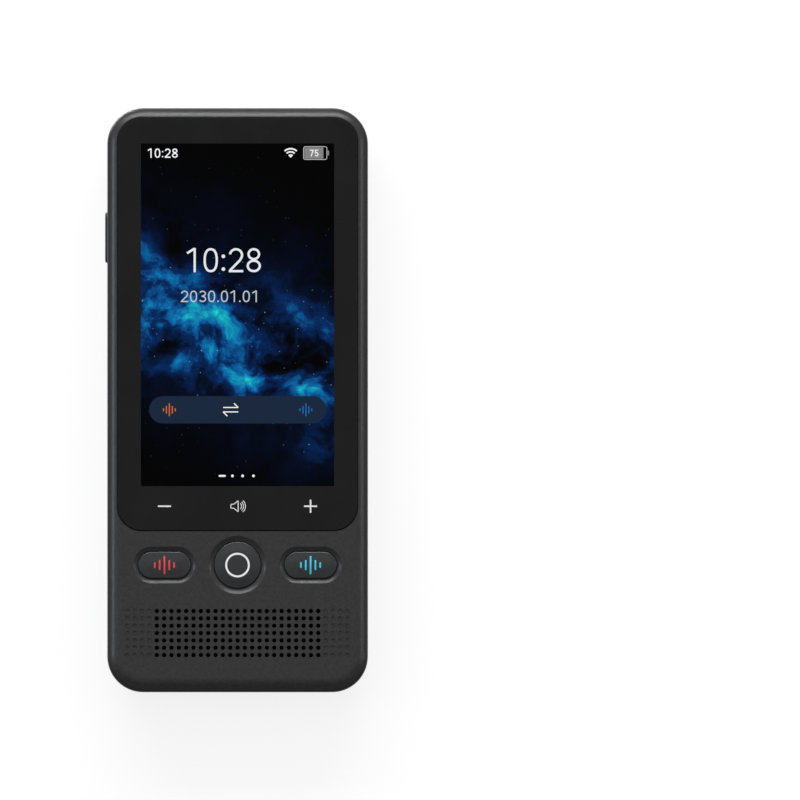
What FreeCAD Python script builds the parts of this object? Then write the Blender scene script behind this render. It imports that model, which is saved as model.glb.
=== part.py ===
import FreeCAD, Part

# A handheld translator: a bar-shaped talking device with a touch screen above three push keys and a
# speaker grille, a camera in the back, a power key in the left side and a charging port in the top.
# It lies on its back. X runs to the right as the screen is read, Y towards the top end, Z out of the
# screen. The origin is the middle of the flat back, and only the camera's ring reaches below it.
# All sizes are in millimetres.

import math
import os

V = FreeCAD.Vector

# Outside of the casing
BODY_WIDTH = 58.9
BODY_LENGTH = 132.0
BODY_DEPTH = 13.5
CORNER_RADIUS = 8.1
FRONT_ROUND_IN = 3.4        # how far the front edge's curve reaches in over the face
FRONT_ROUND_DOWN = 2.8      # and how far it reaches down the side
REAR_ROUND_IN = 5.4
REAR_STRAIGHT = 0.3         # the plain side left between the rear edge's curve and the seam
FRONT_COVER_DEPTH = 8.2
SEAM_GAP = 0.12
REAR_INSET = 0.7            # the rear cover is this much smaller all round
SKIRT_EDGE_ROUND = 0.5
MARGIN = 1.0                # how far cutting bodies stand out past what they cut

# Walls of the casing
FRONT_WALL = 1.6
DECK_WALL = 1.6
REAR_WALL = 1.5
DECK_SIDE_STEP = 0.95       # the deck's hollow stays this much further in, under the curved edge
SKIRT_WALL = 0.9
LIP_HEIGHT = 1.6
LIP_CLEARANCE = 0.1
HOOK_WIDTH = 5.0
HOOK_HEIGHT = 0.6
HOOK_DEPTH = 0.35
HOOK_CLEARANCE = 0.06
HOOK_BELOW_LIP_TOP = 0.2
HOOK_FROM_TOP = 14.0
HOOK_FROM_BOTTOM = 21.0
HOOK_FROM_SIDE = 10.2
RIB_WALL = 0.8
FLOOR_RIB_HEIGHT = 0.6
FLOOR_RIB_FROM_SIDE = 8.95
FLOOR_RIB_FROM_TOP = 26.0
FLOOR_RIB_FROM_BOTTOM = 11.0

# Cover glass and its bed
GLASS_SIDE_BORDER = 2.3     # from the casing's side to the glass
GLASS_TOP_BORDER = 2.07
KEYPAD_LENGTH = 36.51       # from the casing's lower end to the glass
GLASS_RADIUS = 5.5
GLASS_THICKNESS = 1.1
GLASS_EDGE_ROUND = 0.3
GLASS_GAP = 0.12
ADHESIVE_THICKNESS = 0.2
ADHESIVE_INSET = 0.3
LEDGE_THICKNESS = 1.2

# Display, as a stack under the glass
SCREEN_SIDE_BORDER = 5.32   # from the glass's edge to the lit screen
SCREEN_TOP_BORDER = 5.94
SCREEN_BOTTOM_BORDER = 10.07
PANEL_SIDE_BORDER = 1.2
PANEL_TOP_BORDER = 1.4
PANEL_BOTTOM_BORDER = 5.8
PANEL_RADIUS = 0.5
PANEL_THICKNESS = 1.2
PANEL_GAP = 0.05
LIGHT_GUIDE_THICKNESS = 0.6
TRAY_WALL = 0.25
DISPLAY_BED_GAP = 0.3

# Mid frame, a pressed plate that carries the boards and the battery
FRAME_THICKNESS = 0.6
FRAME_SIDE_GAP = 0.8
FRAME_END_GAP = 1.0
FRAME_BELOW_PANEL = 3.38
FRAME_RADIUS = 5.0
FRAME_FLANGE_DROP = 1.4
FRAME_FLANGE_WALL = 0.5

# Screws
BOSS_RADIUS = 1.7
SCREW_RADIUS = 0.7
SCREW_HEAD_RADIUS = 1.2
SCREW_HEAD_HEIGHT = 0.5
SCREW_SLOT = 0.35
SCREW_FIT = 0.05
SCREW_TIP_GAP = 0.15
FRAME_SCREW_FROM_SIDE = 3.75
FRAME_SCREWS_FROM_TOP = (9.0, 41.5)
FRAME_SCREWS_FROM_LOWER_EDGE = (23.6, 2.3)

# Main board
BOARD_THICKNESS = 0.8
BOARD_SIDE_GAP = 3.25       # from the casing's side
BOARD_END_GAP = 3.0
BOARD_LENGTH = 35.6
BOARD_RADIUS = 4.5
STANDOFF_RADIUS = 1.5
STANDOFF_HEIGHT = 2.1
BOARD_SCREWS_LEFT = ((3.7, 3.0), (4.6, 14.4))       # in from the board's side and down from its top
BOARD_SCREWS_RIGHT = ((3.7, 3.0), (2.8, 32.8))
SHIELD_HEIGHT = 1.7
SHIELD_WALL = 0.2
PROCESSOR_SHIELD_IN = 4.2   # each shield: in from the board's side, and where it ends near the middle line
PROCESSOR_SHIELD_END = -0.5
PROCESSOR_SHIELD_DOWN = (31.0, 17.2)
RADIO_SHIELD_IN = 6.2
RADIO_SHIELD_END = 4.2
RADIO_SHIELD_DOWN = (29.5, 17.0)
CHIP_HEIGHT = 0.9
FRONT_CHIPS = ((-13.5, 23.0, 11.5, 10.0), (4.0, 21.0, 8.0, 8.0), (15.0, 13.0, 7.0, 6.0),
               (14.0, 29.0, 5.0, 5.0))      # X, down from the board's top, width and length
HIDDEN_CHIPS = ((-12.2, 24.0, 12.0, 12.0), (-3.4, 21.5, 4.0, 7.0), (12.0, 23.0, 8.0, 8.0))
CONNECTOR_HEIGHT = 0.9

# Charging port
PORT_WIDTH = 8.94
PORT_HEIGHT = 3.16
PORT_DEPTH = 7.3
PORT_WALL = 0.3
PORT_RECESS = 0.6           # how far its mouth stays inside the casing's end
PORT_CLEARANCE = 0.17
PORT_ABOVE_BOARD = 0.45     # its middle above the board's front face
PORT_TONGUE_WIDTH = 6.7
PORT_TONGUE_THICKNESS = 0.7
PORT_TONGUE_LENGTH = 4.6
PORT_DIP_WIDTH = 10.3       # a shallow flat in the end wall around the port
PORT_DIP_DEPTH = 0.12
PORT_MOUTH_CHAMFER = 0.3
PORT_TAB_OUT = 1.5          # tabs that lie on the main board and hold the port's shell
PORT_TAB_LENGTH = 1.4
PORT_TABS_FROM_MOUTH = (5.8, 3.2)

# Battery
BATTERY_SIDE_GAP = 6.45     # from the casing's side
BATTERY_BOARD_GAP = 4.9
BATTERY_STRIP_GAP = 0.97    # to the display's strip
BATTERY_REAR_GAP = 1.55     # to the rear cover
BATTERY_RADIUS = 1.6
TAPE_THICKNESS = 0.15
TAPE_INSET = 4.0
BATTERY_CIRCUIT = (-20.0, 6.0)
BATTERY_CIRCUIT_LENGTH = 3.8
BATTERY_CIRCUIT_HEIGHT = 2.2
LEAD_RADIUS = 0.35
BATTERY_LEAD_PLACES = (-7.4, -6.0, -4.6)
BATTERY_SOCKET = (-9.0, -3.0)
BATTERY_SOCKET_HEIGHT = 1.35

# Key board, its domes and the flexible strips
KEY_BOARD_THICKNESS = 0.8
KEY_BOARD_SIDE_GAP = 2.95   # from the casing's side
KEY_BOARD_ABOVE_KEYS = 6.64
KEY_BOARD_BELOW_KEYS = 6.96
KEY_BOARD_RADIUS = 1.0
DOME_RADIUS = 2.1
DOME_PRESSED_HEIGHT = 0.05  # of a snap dome under a key that is fully in
DOME_TOP_RADIUS = 1.2
DOME_GAP = 0.02
STRIP_THICKNESS = 0.12
DISPLAY_STRIP = (-4.8, 4.8)
LINK_STRIP = (10.5, 18.0)
LINK_STRIP_DROP = 0.25      # clear space between the battery and the strip behind it
SOCKET_LENGTH = 3.2
DISPLAY_SOCKET_DOWN = 1.0   # from the key board's upper edge
LINK_SOCKET_DOWN = 5.9
MIC_STRIP_WIDTH = 3.0
MIC_SOCKET_LENGTH = 2.2

# Keys on the deck
KEY_LINE_FROM_BOTTOM = 28.76    # the three keys' common middle line, from the casing's lower end
KEY_TRAVEL = 0.3
KEY_GAP = 0.14
KEY_FLANGE_OUT = 0.75
KEY_FLANGE_THICKNESS = 0.7
KEY_FLANGE_GAP = 0.1
KEY_FLANGE_ROOM = 0.3       # clear space beside a key's flange
KEY_POST_RADIUS = 1.2
KEY_POST_LENGTH = 0.55
MARK_DEPTH = 0.25
TALK_KEY_FROM_SIDE = 12.95
TALK_KEY_LENGTH = 11.9
TALK_KEY_HEIGHT = 6.06
TALK_WELL_WIDTH = 1.15      # the dished ring around the key
TALK_WELL_DEPTH = 0.56
TALK_KEY_CROWN = 0.32
TALK_KEY_PROUD = 0.12
TALK_FLAT_RADIUS = 0.4
HOME_KEY_RADIUS = 5.28
HOME_WELL_WIDTH = 1.3
HOME_WELL_DEPTH = 0.62
WELL_BEND_OUT = 0.5         # where a well's curve bends: shares of its width and depth
WELL_BEND_DOWN = 0.92
HOME_KEY_CROWN = 0.45
HOME_KEY_PROUD = 0.15
HOME_FLAT_RADIUS = 3.0
KEY_SHOULDER = 0.42         # the cap's rounded edge
CROWN_BEND = 0.2            # where the crown's curve bends, from the flat to the side
WAVE_BAR_WIDTH = 0.38
WAVE_BAR_PITCH = 1.09
WAVE_BAR_HEIGHTS = (1.3, 2.3, 4.2, 2.3, 1.3)
HOME_MARK_RADIUS = 2.78
HOME_MARK_STROKE = 0.44
KEY_SCREW_FROM_LINE = 5.3
KEY_BOSS_RADIUS = 1.35

# Speaker and its grille
GRILLE_FROM_BOTTOM = 13.4
GRILLE_PITCH = 1.658
GRILLE_HOLE_RADIUS = 0.5
GRILLE_ROWS = 7
GRILLE_OPEN_COLUMNS = 23
GRILLE_FROM_SIDE = 4.3      # shallow dimples carry the pattern on as far as this from each side
DIMPLE_DEPTH = 0.12
MESH_THICKNESS = 0.15
SPEAKER_SIDE_MARGIN = 1.76  # around the middles of the grille's open holes
SPEAKER_END_MARGIN = 1.83
SPEAKER_DEPTH = 3.6
SPEAKER_WALL = 1.1
SPEAKER_RADIUS = 2.0
SPEAKER_GASKET = 0.75
SPEAKER_GASKET_WALL = 1.0
CONE_THICKNESS = 0.3
CONE_ROLL = 0.6
MAGNET_WIDTH = 22.0
MAGNET_HEIGHT = 8.5
MAGNET_DEPTH = 1.5
SPEAKER_RIB_DROP = 3.0
SPEAKER_FIT = 0.15
SPEAKER_LEAD_PLACES = (13.4, 15.0)
LEAD_NOTCH_MARGIN = 0.8

# Camera in the back
CAMERA_FROM_TOP = 11.4
CAMERA_PROUD = 0.5
CAMERA_RING_RADIUS = 6.9
CAMERA_RING_GAP = 0.2
CAMERA_RING_CHAMFER = 0.4
CAMERA_RING_FLANGE = 0.8
CAMERA_FLANGE_THICKNESS = 0.6
CAMERA_SEAT_HEIGHT = 2.4
CAMERA_SEAT_WALL = 1.6
CAMERA_PLATE_RADIUS = 5.9
CAMERA_PLATE_RECESS = 0.4
CAMERA_PLATE_THICKNESS = 0.6
CAMERA_SHOULDER = 0.75
CAMERA_WINDOW_RADIUS = 3.05
CAMERA_WINDOW_RECESS = 0.08
CAMERA_FIT = 0.04
CAMERA_BARREL_RADIUS = 2.7
CAMERA_LENS_RADIUS = 1.7
CAMERA_LENS_CROWN = 0.35
CAMERA_LENS_GAP = 0.25
CAMERA_MODULE_SIDE = 8.5
CAMERA_BOARD_GAP = 0.41
CAMERA_SOCKET_LENGTH = 2.0
CAMERA_STRIP_WIDTH = 5.0

# Microphones
REAR_MIC_FROM_SIDE = 11.75
REAR_MIC_FROM_TOP = 10.6
REAR_MIC_HOLE_RADIUS = 0.42
LOWER_MIC_X = -13.6
LOWER_MIC_FROM_FRONT = 4.9
LOWER_MIC_HOLE_RADIUS = 0.5
MIC_LENGTH = 3.5
MIC_WIDTH = 2.7
MIC_THICKNESS = 1.0
BOOT_BORE_RADIUS = 0.55
BOOT_RADIUS = 2.2
LOWER_BOOT_WIDTH = 4.6
LOWER_BOOT_HEIGHT = 3.6
LOWER_BOOT_DEPTH = 2.4

# Aerial
AERIAL_FROM_SIDE = 7.45
AERIAL_FROM_CAMERA = 1.8     # from the camera ring's seat
AERIAL_FROM_TOP = 9.0
AERIAL_LENGTH = 10.5
AERIAL_THICKNESS = 0.12
AERIAL_SPRING_UP = 4.5      # from the aerial's lower edge
AERIAL_SPRING_WIDTH = 1.6
AERIAL_SPRING_LENGTH = 4.0
AERIAL_SPRING_SHEET = 0.2

# Power key in the left side
POWER_KEY_FROM_TOP = 29.2
POWER_KEY_ABOVE_BOARD = 0.35
POWER_KEY_LENGTH = 11.5
POWER_KEY_HEIGHT = 3.0
POWER_KEY_PROUD = 0.5
POWER_KEY_ROUND = 0.45
POWER_KEY_GAP = 0.12
POWER_FLANGE_OUT = 0.7
POWER_FLANGE_THICKNESS = 0.6
POWER_POST_LENGTH = 0.55
POWER_POST_SIDE = 1.8
POWER_KEY_TRAVEL = 0.3
PLUNGER_RADIUS = 0.8
PLUNGER_OUT = 0.42          # how far the switch's plunger stands out, and how deep it sits inside
PLUNGER_IN = 0.5
PLUNGER_GAP = 0.05
SWITCH_LENGTH = 4.0
SWITCH_HEIGHT = 3.0
SWITCH_DEPTH = 1.4
SWITCH_BOARD_THICKNESS = 0.4
SWITCH_BOARD_END_MARGIN = 1.75  # how far it runs past each end of the power key
SWITCH_BOARD_HEIGHT = 3.2
SWITCH_BOARD_FIT = 0.05
SWITCH_BOARD_POST_LENGTH = 1.6
SWITCH_BOARD_POST_LAP = 0.9     # how much of each end its posts grip
SWITCH_TAIL_WIDTH = 3.0
SWITCH_TAIL_LAP = 1.0           # how far its tail lies on the main board
NOTCH_CLEARANCE = 0.5

# Heights of the stack, worked out from the front face down and from the back up
HALF_WIDTH = BODY_WIDTH / 2
HALF_LENGTH = BODY_LENGTH / 2
FRONT_Z = BODY_DEPTH
SEAM_HEIGHT = FRONT_Z - FRONT_COVER_DEPTH
REAR_ROUND_UP = SEAM_HEIGHT - SEAM_GAP - REAR_STRAIGHT
GLASS_Z = FRONT_Z - GLASS_THICKNESS
LEDGE_Z = GLASS_Z - ADHESIVE_THICKNESS
LEDGE_UNDER_Z = LEDGE_Z - LEDGE_THICKNESS
DECK_UNDER_Z = FRONT_Z - DECK_WALL
PANEL_Z = GLASS_Z - PANEL_GAP - PANEL_THICKNESS
GUIDE_Z = PANEL_Z - LIGHT_GUIDE_THICKNESS
TRAY_Z = GUIDE_Z - TRAY_WALL
FRAME_TOP_Z = TRAY_Z
FRAME_Z = FRAME_TOP_Z - FRAME_THICKNESS
BOARD_TOP_Z = FRAME_Z - STANDOFF_HEIGHT
BOARD_Z = BOARD_TOP_Z - BOARD_THICKNESS
PORT_CENTRE_Z = BOARD_TOP_Z + PORT_ABOVE_BOARD
POWER_KEY_Z = BOARD_TOP_Z + POWER_KEY_ABOVE_BOARD
LOWER_MIC_Z = FRONT_Z - LOWER_MIC_FROM_FRONT
BATTERY_TOP_Z = FRAME_Z - TAPE_THICKNESS
BATTERY_Z = REAR_WALL + BATTERY_REAR_GAP
BATTERY_LEAD_Z = BOARD_Z - BATTERY_SOCKET_HEIGHT / 2
KEY_FLANGE_TOP_Z = DECK_UNDER_Z - KEY_FLANGE_GAP
KEY_FLANGE_Z = KEY_FLANGE_TOP_Z - KEY_FLANGE_THICKNESS
KEY_POST_Z = KEY_FLANGE_Z - KEY_POST_LENGTH
DOME_HEIGHT = KEY_TRAVEL + DOME_PRESSED_HEIGHT
KEY_BOARD_TOP_Z = KEY_POST_Z - DOME_GAP - DOME_HEIGHT
KEY_BOARD_Z = KEY_BOARD_TOP_Z - KEY_BOARD_THICKNESS
MESH_Z = DECK_UNDER_Z - MESH_THICKNESS
GASKET_Z = MESH_Z - SPEAKER_GASKET
SPEAKER_Z = GASKET_Z - SPEAKER_DEPTH
LIP_TOP_Z = SEAM_HEIGHT + LIP_HEIGHT

# Outlines that several pieces share, worked out from the casing's sides and ends in
GLASS_WIDTH = BODY_WIDTH - 2 * GLASS_SIDE_BORDER
GLASS_TOP = HALF_LENGTH - GLASS_TOP_BORDER
GLASS_BOTTOM = KEYPAD_LENGTH - HALF_LENGTH
SCREEN_WIDTH = GLASS_WIDTH - 2 * SCREEN_SIDE_BORDER
SCREEN_TOP = GLASS_TOP - SCREEN_TOP_BORDER
SCREEN_BOTTOM = GLASS_BOTTOM + SCREEN_BOTTOM_BORDER
LIP_OUTER_INSET = SKIRT_WALL + LIP_CLEARANCE
REAR_INNER_INSET = REAR_INSET + REAR_WALL
PANEL_HALF_WIDTH = SCREEN_WIDTH / 2 + PANEL_SIDE_BORDER
PANEL_TOP = SCREEN_TOP + PANEL_TOP_BORDER
PANEL_BOTTOM = SCREEN_BOTTOM - PANEL_BOTTOM_BORDER
BED_OUT = TRAY_WALL + DISPLAY_BED_GAP
DISPLAY_STRIP_Y = PANEL_BOTTOM - BED_OUT
FRAME_BOTTOM = PANEL_BOTTOM - FRAME_BELOW_PANEL
FRAME_SCREW_X = HALF_WIDTH - FRAME_SCREW_FROM_SIDE
FRAME_SCREW_PLACES = ([HALF_LENGTH - down for down in FRAME_SCREWS_FROM_TOP]
                      + [FRAME_BOTTOM + up for up in FRAME_SCREWS_FROM_LOWER_EDGE])
BOARD_HALF_WIDTH = HALF_WIDTH - BOARD_SIDE_GAP
BOARD_TOP = HALF_LENGTH - BOARD_END_GAP
BOARD_BOTTOM = BOARD_TOP - BOARD_LENGTH
BOARD_SCREW_PLACES = ([(across - BOARD_HALF_WIDTH, BOARD_TOP - down) for across, down in BOARD_SCREWS_LEFT]
                      + [(BOARD_HALF_WIDTH - across, BOARD_TOP - down)
                         for across, down in BOARD_SCREWS_RIGHT])
BATTERY_WIDTH = BODY_WIDTH - 2 * BATTERY_SIDE_GAP
BATTERY_TOP = BOARD_BOTTOM - BATTERY_BOARD_GAP
BATTERY_BOTTOM = DISPLAY_STRIP_Y + BATTERY_STRIP_GAP
KEY_LINE = KEY_LINE_FROM_BOTTOM - HALF_LENGTH
KEY_BOARD_HALF_WIDTH = HALF_WIDTH - KEY_BOARD_SIDE_GAP
KEY_BOARD_TOP = KEY_LINE + KEY_BOARD_ABOVE_KEYS
KEY_BOARD_BOTTOM = KEY_LINE - KEY_BOARD_BELOW_KEYS
DISPLAY_SOCKET_TOP = KEY_BOARD_TOP - DISPLAY_SOCKET_DOWN
LINK_SOCKET_TOP = KEY_BOARD_TOP - LINK_SOCKET_DOWN
TALK_KEY_X = HALF_WIDTH - TALK_KEY_FROM_SIDE
KEY_FLANGE_REACH = KEY_GAP + KEY_FLANGE_OUT
HOME_FLANGE_X = HOME_KEY_RADIUS + KEY_FLANGE_REACH
TALK_FLANGE_X = TALK_KEY_X - TALK_KEY_LENGTH / 2 - KEY_FLANGE_REACH
KEY_SCREW_X = (HOME_FLANGE_X + TALK_FLANGE_X) / 2
KEY_SCREW_PLACES = [(side * KEY_SCREW_X, KEY_LINE + up * KEY_SCREW_FROM_LINE)
                    for side in (1, -1) for up in (1, -1)]
GRILLE_LINE = GRILLE_FROM_BOTTOM - HALF_LENGTH
SPEAKER_WIDTH = (GRILLE_OPEN_COLUMNS - 1) * GRILLE_PITCH + 2 * SPEAKER_SIDE_MARGIN
SPEAKER_HEIGHT = (GRILLE_ROWS - 1) * GRILLE_PITCH + 2 * SPEAKER_END_MARGIN
CAMERA_Y = HALF_LENGTH - CAMERA_FROM_TOP
CAMERA_SEAT_RADIUS = CAMERA_RING_RADIUS + CAMERA_RING_GAP + CAMERA_SEAT_WALL
REAR_MIC_PLACE = (HALF_WIDTH - REAR_MIC_FROM_SIDE, HALF_LENGTH - REAR_MIC_FROM_TOP)
MIC_STRIP = (LOWER_MIC_X - MIC_STRIP_WIDTH / 2, LOWER_MIC_X + MIC_STRIP_WIDTH / 2)
AERIAL_SIDES = (AERIAL_FROM_SIDE - HALF_WIDTH, -CAMERA_SEAT_RADIUS - AERIAL_FROM_CAMERA)
AERIAL_TOP = HALF_LENGTH - AERIAL_FROM_TOP
AERIAL_BOTTOM = AERIAL_TOP - AERIAL_LENGTH
POWER_KEY_Y = HALF_LENGTH - POWER_KEY_FROM_TOP
SWITCH_BOARD_LENGTH = POWER_KEY_LENGTH + 2 * SWITCH_BOARD_END_MARGIN
DECK_HOLLOW_TOP = KEY_LINE + HOME_KEY_RADIUS + KEY_FLANGE_REACH + KEY_FLANGE_ROOM
PORT_MOUTH_Y = HALF_LENGTH - PORT_RECESS
PORT_BACK_Y = PORT_MOUTH_Y - PORT_DEPTH
INNER_HALF_WIDTH = HALF_WIDTH - FRONT_WALL
INNER_HALF_LENGTH = HALF_LENGTH - FRONT_WALL


def box(x_low, x_high, y_low, y_high, z_low, z_high):
    """A block between two corners."""
    return Part.makeBox(x_high - x_low, y_high - y_low, z_high - z_low, V(x_low, y_low, z_low))


def post(x, y, radius, z_low, z_high):
    """A round post that stands along Z."""
    return Part.makeCylinder(radius, z_high - z_low, V(x, y, z_low))


def line(start, end):
    return Part.makeLine(start, end)


def arc(start, middle, end):
    return Part.Arc(start, middle, end).toShape()


def rounded_edge(on_face, corner, on_side):
    """Two tangent arcs that round off corner, from a point on the face to one on the side.

    They meet where the edge has turned by half of its right angle, so the longer reach gets the larger arc.
    """
    half = math.sqrt(0.5)
    in_length = (corner - on_face).Length
    down_length = (corner - on_side).Length
    scale = half * half - (1 - half) ** 2
    face_radius = (half * in_length - (1 - half) * down_length) / scale
    side_radius = (half * down_length - (1 - half) * in_length) / scale
    inwards = (on_face - corner).normalize()
    down = (on_side - corner).normalize()
    face_centre = on_face + down * face_radius
    side_centre = on_side + inwards * side_radius
    part_way = math.sin(math.pi / 8), math.cos(math.pi / 8)
    joint = face_centre - (inwards + down) * (face_radius * half)
    on_first = face_centre - inwards * (face_radius * part_way[0]) - down * (face_radius * part_way[1])
    on_second = side_centre - inwards * (side_radius * part_way[1]) - down * (side_radius * part_way[0])
    return [arc(on_face, on_first, joint), arc(joint, on_second, on_side)]


def bezier(*poles):
    curve = Part.BezierCurve()
    curve.setPoles(list(poles))
    return curve.toShape()


def rounded_prism(x_low, x_high, y_low, y_high, radius, z_low, z_high):
    """A rectangle with round corners, standing from z_low to z_high."""
    diagonal = radius * (1 - math.sqrt(0.5))
    corners = ((x_high, y_low, 1, -1), (x_high, y_high, 1, 1), (x_low, y_high, -1, 1), (x_low, y_low, -1, -1))
    edges = []
    ends = []
    for x, y, sx, sy in corners:
        on_side = V(x, y - sy * radius, z_low)
        on_end = V(x - sx * radius, y, z_low)
        middle = V(x - sx * diagonal, y - sy * diagonal, z_low)
        first, last = (on_side, on_end) if sx * sy > 0 else (on_end, on_side)
        edges.append(arc(first, middle, last))
        ends.append((first, last))
    sides = [line(ends[i][1], ends[(i + 1) % 4][0]) for i in range(4)]
    ordered = [edge for pair in zip(edges, sides) for edge in pair]
    return Part.Face(Part.Wire(ordered)).extrude(V(0, 0, z_high - z_low))


def inset_prism(inset, z_low, z_high):
    """The casing's own outline, smaller by inset all round."""
    return rounded_prism(
        -HALF_WIDTH + inset, HALF_WIDTH - inset, -HALF_LENGTH + inset, HALF_LENGTH - inset,
        CORNER_RADIUS - inset, z_low, z_high,
    )


def edge_cutter(inset, reach_in, reach_along, edge_z, towards):
    """What rounding off the outline's edge at edge_z removes, all the way round.

    towards is 1 for an edge that faces up and -1 for one that faces down.
    """
    half_x = HALF_WIDTH - inset
    half_y = HALF_LENGTH - inset
    corner_x = HALF_WIDTH - CORNER_RADIUS
    corner_y = HALF_LENGTH - CORNER_RADIUS
    top = edge_z + towards * MARGIN
    side_z = edge_z - towards * reach_along

    def at(x, z):
        return V(x, corner_y, z)

    on_face, on_side = at(half_x - reach_in, edge_z), at(half_x, side_z)
    section = Part.Face(Part.Wire(rounded_edge(on_face, at(half_x, edge_z), on_side) + [
        line(on_side, at(half_x + MARGIN, side_z)),
        line(at(half_x + MARGIN, side_z), at(half_x + MARGIN, top)),
        line(at(half_x + MARGIN, top), at(half_x - reach_in, top)),
        line(at(half_x - reach_in, top), on_face),
    ]))
    axis = V(corner_x, corner_y, 0)
    side = section.extrude(V(0, -2 * corner_y, 0))
    corner = section.revolve(axis, V(0, 0, 1), 90)
    turned = section.copy()
    turned.rotate(axis, V(0, 0, 1), 90)
    end = turned.extrude(V(-2 * corner_x, 0, 0))
    across, along = V(1, 0, 0), V(0, 1, 0)
    origin = V(0, 0, 0)
    pieces = [side, side.mirror(origin, across), end, end.mirror(origin, along)]
    for shape in (corner, corner.mirror(origin, across)):
        pieces += [shape, shape.mirror(origin, along)]
    return pieces[0].fuse(pieces[1:])


def long_turned(steps, x, y, straight):
    """A profile in radius and height, spun about Z and stretched along X by straight.

    Each step is a list of (radius, height) points: one point for a line to it, more for a curve's poles.
    The first step is the start. The profile begins and ends on the axis.
    """
    def face(side):
        start = V(steps[0][0][0] * side, 0, steps[0][0][1])
        edges = []
        for step in steps[1:]:
            poles = [V(r * side, 0, z) for r, z in step]
            edges.append(line(start, poles[0]) if len(poles) == 1 else bezier(start, *poles))
            start = poles[-1]
        first = V(steps[0][0][0] * side, 0, steps[0][0][1])
        edges.append(line(start, first))
        return Part.Face(Part.Wire(edges))

    up = V(0, 0, 1)
    if straight <= 0:
        solid = face(1).revolve(V(0, 0, 0), up, 360)
    else:
        ends = []
        for side in (1, -1):
            half = face(1)
            half.rotate(V(0, 0, 0), up, -90 if side > 0 else 90)
            half = half.revolve(V(0, 0, 0), up, 180)
            half.translate(V(side * straight / 2, 0, 0))
            ends.append(half)
        bars = []
        for side in (1, -1):
            bar = face(1)
            bar.rotate(V(0, 0, 0), up, side * 90)
            bar.translate(V(-straight / 2, 0, 0))
            bars.append(bar.extrude(V(straight, 0, 0)))
        solid = ends[0].fuse([ends[1]] + bars).removeSplitter()
    solid.translate(V(x, y, 0))
    return solid


def slot_prism(x, y, length, height, z_low, z_high):
    """An upright bar with half-round ends, length along X. A bar as long as it is high is a round post."""
    radius = height / 2
    steps = [[(0, z_low)], [(radius, z_low)], [(radius, z_high)], [(0, z_high)]]
    return long_turned(steps, x, y, length - height)


def end_slot(x, z, width, height, y_low, y_high):
    """A bar with half-round ends that lies along Y, with its width along X."""
    solid = slot_prism(0, 0, width, height, 0, y_high - y_low)
    solid.rotate(V(0, 0, 0), V(1, 0, 0), -90)
    solid.translate(V(x, y_low, z))
    return solid


def side_slot(y, z, length, height, x_low, x_high):
    """A bar with half-round ends that lies along X, with its length along Y."""
    solid = slot_prism(0, 0, length, height, 0, x_high - x_low)
    solid.rotate(V(0, 0, 0), V(0, 0, 1), 90)
    solid.rotate(V(0, 0, 0), V(0, 1, 0), 90)
    solid.translate(V(x_low, y, z))
    return solid


def strip(points, x_low, x_high):
    """A flexible printed strip: a line of (Y, Z) points, thickened evenly with mitred bends."""
    half = STRIP_THICKNESS / 2
    near, far = [], []
    for i, (y, z) in enumerate(points):
        before = points[max(i - 1, 0)]
        after = points[min(i + 1, len(points) - 1)]
        directions = []
        for a, b in ((before, (y, z)), ((y, z), after)):
            length = math.hypot(b[0] - a[0], b[1] - a[1])
            if length > 0:
                directions.append(((b[0] - a[0]) / length, (b[1] - a[1]) / length))
        ty = sum(d[0] for d in directions)
        tz = sum(d[1] for d in directions)
        size = math.hypot(ty, tz)
        normal = (-tz / size, ty / size)
        grow = half / abs(normal[0] * -directions[0][1] + normal[1] * directions[0][0])
        near.append(V(x_low, y + normal[0] * grow, z + normal[1] * grow))
        far.append(V(x_low, y - normal[0] * grow, z - normal[1] * grow))
    ring = near + far[::-1]
    return Part.Face(Part.makePolygon(ring + ring[:1])).extrude(V(x_high - x_low, 0, 0))


def socket_block(x_low, x_high, y_low, y_high, board_z, towards, height):
    """A connector's block on a board's face, on the side that towards gives."""
    z_low, z_high = sorted((board_z, board_z + towards * height))
    return box(x_low, x_high, y_low, y_high, z_low, z_high)


def screw(x, y, head_z, tip_z):
    """A screw driven upwards: its slotted head lies under head_z and its shank ends at tip_z."""
    head = post(x, y, SCREW_HEAD_RADIUS, head_z - SCREW_HEAD_HEIGHT, head_z)
    shank = post(x, y, SCREW_RADIUS, head_z, tip_z)
    arm = SCREW_HEAD_RADIUS * 0.62
    low = head_z - SCREW_HEAD_HEIGHT
    half = SCREW_SLOT / 2
    cross = [
        box(x - arm, x + arm, y - half, y + half, low, low + SCREW_SLOT),
        box(x - half, x + half, y - arm, y + arm, low, low + SCREW_SLOT),
    ]
    return head.fuse(shank).cut(cross)


def mirrored_places(x, places):
    return [(side * x, y) for side in (1, -1) for y in places]


def grille_places(first, count):
    """Hole centres of the grille's columns from first, counted outwards from its middle, on both sides."""
    rows = [GRILLE_LINE + (row - (GRILLE_ROWS - 1) / 2) * GRILLE_PITCH for row in range(GRILLE_ROWS)]
    columns = set()
    for column in range(first, first + count):
        columns |= {column * GRILLE_PITCH, -column * GRILLE_PITCH}
    return [(x, y) for x in sorted(columns) for y in rows]


def key_well(x, straight, radius, width, depth):
    """The dished ring around a key and the key's opening below it, as one cutting body."""
    opening = radius + KEY_GAP
    rim = radius + width
    steps = [
        [(0, DECK_UNDER_Z - MARGIN)],
        [(opening, DECK_UNDER_Z - MARGIN)],
        [(opening, FRONT_Z - depth)],
        [(opening + WELL_BEND_OUT * (rim - opening), FRONT_Z - WELL_BEND_DOWN * depth), (rim, FRONT_Z)],
        [(rim, FRONT_Z + MARGIN)],
        [(0, FRONT_Z + MARGIN)],
    ]
    return long_turned(steps, x, KEY_LINE, straight)


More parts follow.
